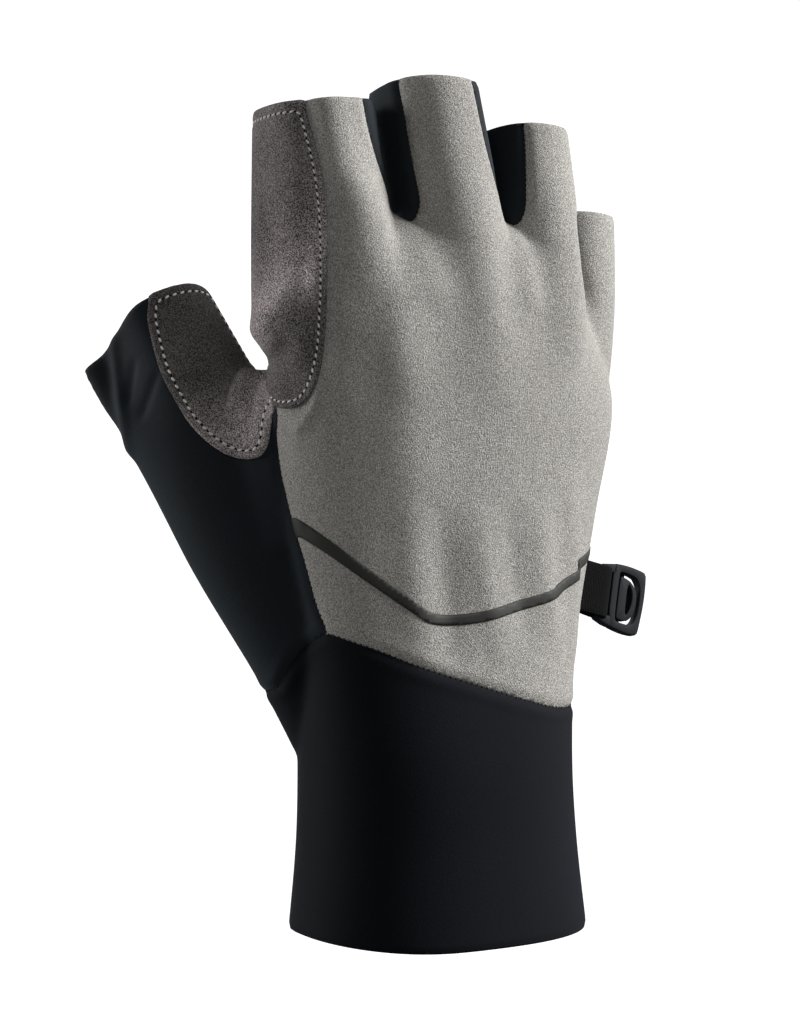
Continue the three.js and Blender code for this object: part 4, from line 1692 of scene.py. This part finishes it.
@dataclass(frozen=True)
class Clip:
    """Small moulded clip: a frame with two arms and a bar, and a D-shaped loop inside it.

    Its own plane has one axis away from the hand and one up, and its front is towards the back of the hand.
    """

    at: Triple = (47.4, -0.8, 73.4)
    away: Triple = (0.961, 0.012, -0.278)
    up: Triple = (0.267, 0.176, 0.947)
    frame: Outline = (
        (0.1, -7.5), (3, -8), (6, -8.2), (8.4, -8), (9.1, -7.8), (9.4, -6.9), (9.8, -3.6),
        (10.15, 0), (10.2, 3.7), (10, 6.8), (9.8, 7.5), (9, 7.9), (4.5, 8.15), (0.6, 7.75), (0.1, 7.6),
    )
    window: Outline = (
        (2.05, -5.6), (2.6, -6), (6.6, -6), (7.8, -4.8), (8.4, -3.2), (8.65, -1), (8.7, 1.5),
        (8.5, 3.7), (7.9, 4.9), (6.8, 6), (2.6, 6.2), (2.05, 5.8),
    )
    loop: Outline = (
        (2.5, -5), (2.7, -5.3), (5, -5.4), (6.6, -4.6), (7.7, -2.8), (8.1, 0), (7.9, 2), (7, 3.7),
        (5.2, 4.9), (2.8, 5.2), (2.5, 4.9),
    )
    crescent: Outline = (
        (5, -4.2), (5.8, -3.2), (6.5, -1.4), (6.7, 0.6), (6.5, 2.1), (5.9, 3.3), (5, 4.1),
    )
    frame_depth: Pair = (-1.1, 1.1)
    loop_depth: Pair = (-0.9, 0.85)
    floor_depth: Pair = (-1.0, -0.5)
    floors: tuple[Sides, ...] = ((1.4, 4.7, -6.4, 6.5), (4.4, 7.0, -4.7, 3.6))
    wings: tuple[Outline, ...] = (
        ((1.2, 7.8), (-0.6, 7.35), (-3.1, 6.7), (-3.5, 6.3), (-2.6, 5.2), (0.4, 5.2), (1.2, 5.2)),
        ((1.2, -7.7), (1.2, -5.2), (0.4, -5.2), (-2.6, -5.2), (-3.5, -6.2), (-3, -6.8), (-0.6, -7.5)),
    )
    bar: Sides = (-3.0, -1.6, -6.9, 6.9)
    bar_depth: Pair = (-0.7, 0.7)
    rays: int = 72
    edge: float = 0.32
    narrow: Pair = (0.24, 0.2)
    sharp: float = 50
    crease: float = 38

    def axes(self) -> Matrix:
        """The turn and place of the clip's plane.

        Returns:
            The matrix, in millimetres.
        """
        away = Vector(self.away).normalized()
        front = away.cross(Vector(self.up)).normalized()
        turned = Matrix((away, front.cross(away), front)).transposed()
        return Matrix.Translation(Vector(self.at)) @ turned.to_4x4()

    def ring(self, outer: Sequence, inner: Sequence, middle: Pair,
             depth: Pair) -> BMesh:
        """A flat ring between two outlines, raised to its thickness and rounded.

        Args:
            outer: The outer outline.
            inner: The hole's outline.
            middle: A place inside both.
            depth: Its back and front.

        Returns:
            The ring.
        """
        bm = bmesh.new()
        edges = []
        for outline in (outer, inner):
            places = across_rays(softened(outline, 1), middle, self.rays)
            edges += ring_of(bm, [(x, y, depth[0]) for x, y in places])
        bmesh.ops.bridge_loops(bm, edges=edges)
        return self.raised(bm, depth)

    def raised(self, bm: BMesh, depth: Pair) -> BMesh:
        """Gives a flat shape its thickness and rounds its edges.

        Args:
            bm: The flat shape.
            depth: Its back and front.

        Returns:
            The same bmesh.
        """
        made = bmesh.ops.extrude_face_region(bm, geom=bm.faces[:], use_keep_orig=True)["geom"]
        top = [part for part in made if isinstance(part, Vert)]
        bmesh.ops.translate(bm, vec=(0, 0, depth[1] - depth[0]), verts=top)
        return self.rounded(bm)

    def plate(self, outline: Sequence[Pair], depth: Pair) -> BMesh:
        """A rounded plate from an outline and its depth.

        Args:
            outline: The outline's points, in order.
            depth: Its back and front.

        Returns:
            The plate.
        """
        bm = bmesh.new()
        ring_of(bm, [(x, y, depth[0]) for x, y in outline], filled=True)
        return self.raised(bm, depth)

    def block(self, sides: Sides, depth: Pair) -> BMesh:
        """A rounded block from its left, right, lower and upper side, and its depth."""
        west, east, south, north = sides
        return self.plate(((west, south), (east, south), (east, north), (west, north)), depth)

    def rounded(self, bm: BMesh) -> BMesh:
        """Rounds the sharp edges of a closed shape.

        Args:
            bm: The shape.

        Returns:
            The same bmesh.
        """
        face_out(bm)
        sharp = [edge for edge in bm.edges if edge.calc_face_angle(0.0) > math.radians(self.sharp)]
        share, least = self.narrow
        width = min(self.edge, share * min(edge.calc_length() for edge in sharp) + least)
        bmesh.ops.bevel(bm, geom=sharp, offset=width, affect="EDGES", segments=3, profile=0.5, material=-1,
                        clamp_overlap=True)
        return bm

    def build(self) -> Object:
        """Builds the clip and puts it in its place.

        Returns:
            The clip.
        """
        parts = [
            self.ring(self.frame, self.window, (5.0, 0.0), self.frame_depth),
            self.ring(self.loop, self.crescent, (5.7, 0.0), self.loop_depth),
            self.block(self.bar, self.bar_depth),
            *(self.block(floor, self.floor_depth) for floor in self.floors),
            *(self.plate(wing, self.frame_depth) for wing in self.wings),
        ]
        whole = bmesh.new()
        for part in parts:
            pour(part, whole)
        return piece_of(whole, "clip_moulded", self.axes(), self.crease)


@dataclass(frozen=True)
class Strap:
    """Webbing that leaves the side of the hand, turns round the clip's bar and goes back."""

    clip: Clip
    half: float = 6.05
    layer: float = 0.85
    start: float = -10.6
    skew: float = -0.27
    turn_at: float = -2.25
    turn_radius: float = 1.35
    turn_steps: int = 10
    rows: int = 25
    steps: int = 14
    crown: float = 0.16
    crown_from: float = 0.86
    pinch: float = 0.45
    crease: float = 40

    def side(self, b: float) -> Array:
        """One row's outline, out along one face, round the turn and back, then inside it the same way.

        Args:
            b: How far across the webbing the row is.

        Returns:
            The outline's points.
        """
        start = self.start + self.skew * b
        rings = []
        edge = abs(b) / self.half
        thin = self.crown * max(0.0, (edge - self.crown_from) / (1 - self.crown_from)) ** 2
        for radius in (self.turn_radius + self.layer - thin, self.turn_radius + thin):
            out = np.linspace(start, self.turn_at, self.steps, endpoint=False)
            pinch = self.pinch + (1 - self.pinch) * ease((out - start) / (self.turn_at - start))
            turns = np.linspace(-math.pi / 2, math.pi / 2, self.turn_steps)
            offset = radius - self.turn_radius
            mean = self.turn_radius * pinch + offset
            below = np.stack([out, -mean], 1)
            bend = np.stack([self.turn_at + radius * np.cos(turns), radius * np.sin(turns)], 1)
            above = np.stack([out[::-1], mean[::-1]], 1)
            rings.append(np.vstack([below, bend, above]))
        return np.vstack([rings[0], rings[1][::-1]])

    def build(self) -> Object:
        """Lofts the strap through its rows and puts it in its place.

        Returns:
            The strap.
        """
        bm = bmesh.new()
        sections = []
        for b in np.linspace(-self.half, self.half, self.rows):
            outline = self.side(float(b))
            sections.append(np.stack([outline[:, 0], np.full(len(outline), b), outline[:, 1]], 1))
        loft(bm, sections)
        face_out(bm)
        return piece_of(bm, "strap_webbing", self.clip.axes(), self.crease)


@dataclass(frozen=True)
class Studio:
    """Camera at the photo's viewing angle, pale floor that curves up all round, and soft lights."""

    eye: Triple = (-0.2359, -0.3933, 0.0935)
    lens: float = 72.0
    film: float = 36.0
    floor_level: float = -0.3
    floor_radius: float = 1.6
    curve: float = 0.6
    wall_height: float = 2.2
    bends: int = 12
    world: float = 0.13
    glow: float = 0.9
    aim: Triple = (0.0, 0.0, 0.1)
    lamps: tuple[tuple[str, Triple, float, float], ...] = (
        ("key", (0.88, -0.43, 0.6), 0.42, 26.5),
        ("rim", (-0.7, 0.62, 0.3), 0.5, 7.0),
        ("fill", (-0.55, -0.8, -0.12), 0.5, 1.1),
        ("front", (-0.1, -0.9, 0.75), 0.5, 1.6),
        ("palm", (0.3, 0.9, 0.4), 0.8, 4.0),
    )

    def camera(self) -> None:
        """Places the camera."""
        data = bpy.data.cameras.new("camera")
        data.lens = self.lens
        data.sensor_fit = "VERTICAL"
        data.sensor_height = self.film
        data.clip_start = 0.01
        eye = bpy.data.objects.new("camera", data)
        eye.location = self.eye
        eye.rotation_euler = (math.radians(90), 0.0, -VIEW_TURN)
        bpy.context.scene.collection.objects.link(eye)
        bpy.context.scene.camera = eye

    def floor(self) -> None:
        """Spins a profile into a round floor with a wall that curves up from it."""
        bm = bmesh.new()
        profile = [(0.0, 0.0), (self.floor_radius, 0.0)]
        for k in range(1, self.bends + 1):
            turn = math.pi / 2 * k / self.bends
            out, up = self.curve * math.sin(turn), self.curve * (1 - math.cos(turn))
            profile.append((self.floor_radius + out, up))
        profile.append((self.floor_radius + self.curve, self.wall_height))
        verts = [bm.verts.new((x, 0.0, z + self.floor_level)) for x, z in profile]
        edges = [bm.edges.new(pair) for pair in zip(verts, verts[1:])]
        bmesh.ops.spin(bm, geom=verts + edges, cent=(0, 0, 0), axis=(0, 0, 1), angle=math.tau, steps=96,
                       use_merge=True)
        bmesh.ops.remove_doubles(bm, verts=bm.verts[:], dist=1e-5)
        bmesh.ops.recalc_face_normals(bm, faces=bm.faces[:])
        bmesh.ops.reverse_faces(bm, faces=bm.faces[:])
        floor = object_of(bm, "floor")
        made = bpy.data.materials.new("pale_floor")
        made.use_nodes = True
        shader = Shader(made.node_tree)
        skin = shader.add("ShaderNodeBsdfPrincipled", Base_Color=(0.8, 0.8, 0.8, 1), Roughness=0.9,
                          Emission_Color=(1, 1, 1, 1), Emission_Strength=self.glow)
        shader.add("ShaderNodeOutputMaterial", Surface=skin.outputs[0])
        floor.data.materials.append(made)
        floor.visible_diffuse = False
        floor.visible_glossy = False
        floor.visible_shadow = False

    def lamp(self, name: str, place: Triple, size: float, power: float) -> None:
        """Places a square soft light that faces the glove's middle.

        Args:
            name: The light's name.
            place: Where it stands.
            size: Its width.
            power: Its power in watts.
        """
        data = bpy.data.lights.new(name, "AREA")
        data.size = size
        data.energy = power
        lamp = bpy.data.objects.new(name, data)
        lamp.location = place
        aim = Vector(self.aim) - Vector(place)
        lamp.rotation_euler = aim.to_track_quat("-Z", "Y").to_euler()
        bpy.context.scene.collection.objects.link(lamp)

    def light(self) -> None:
        """Sets the world and the lights."""
        world = bpy.data.worlds.new("studio")
        bpy.context.scene.world = world
        world.use_nodes = True
        colour, strength = world.node_tree.nodes["Background"].inputs[:2]
        colour.default_value = (1, 1, 1, 1)
        strength.default_value = self.world
        for lamp in self.lamps:
            self.lamp(*lamp)

    def build(self) -> None:
        """Builds camera, floor and lights."""
        bpy.context.scene.view_settings.view_transform = "Standard"
        self.camera()
        self.floor()
        self.light()


def main() -> None:
    """Loads the frame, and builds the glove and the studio."""
    logging.basicConfig(level=logging.INFO, format="%(name)s: %(message)s")
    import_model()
    Glove().build()
    Studio().build()


if __name__ == "__main__":
    main()
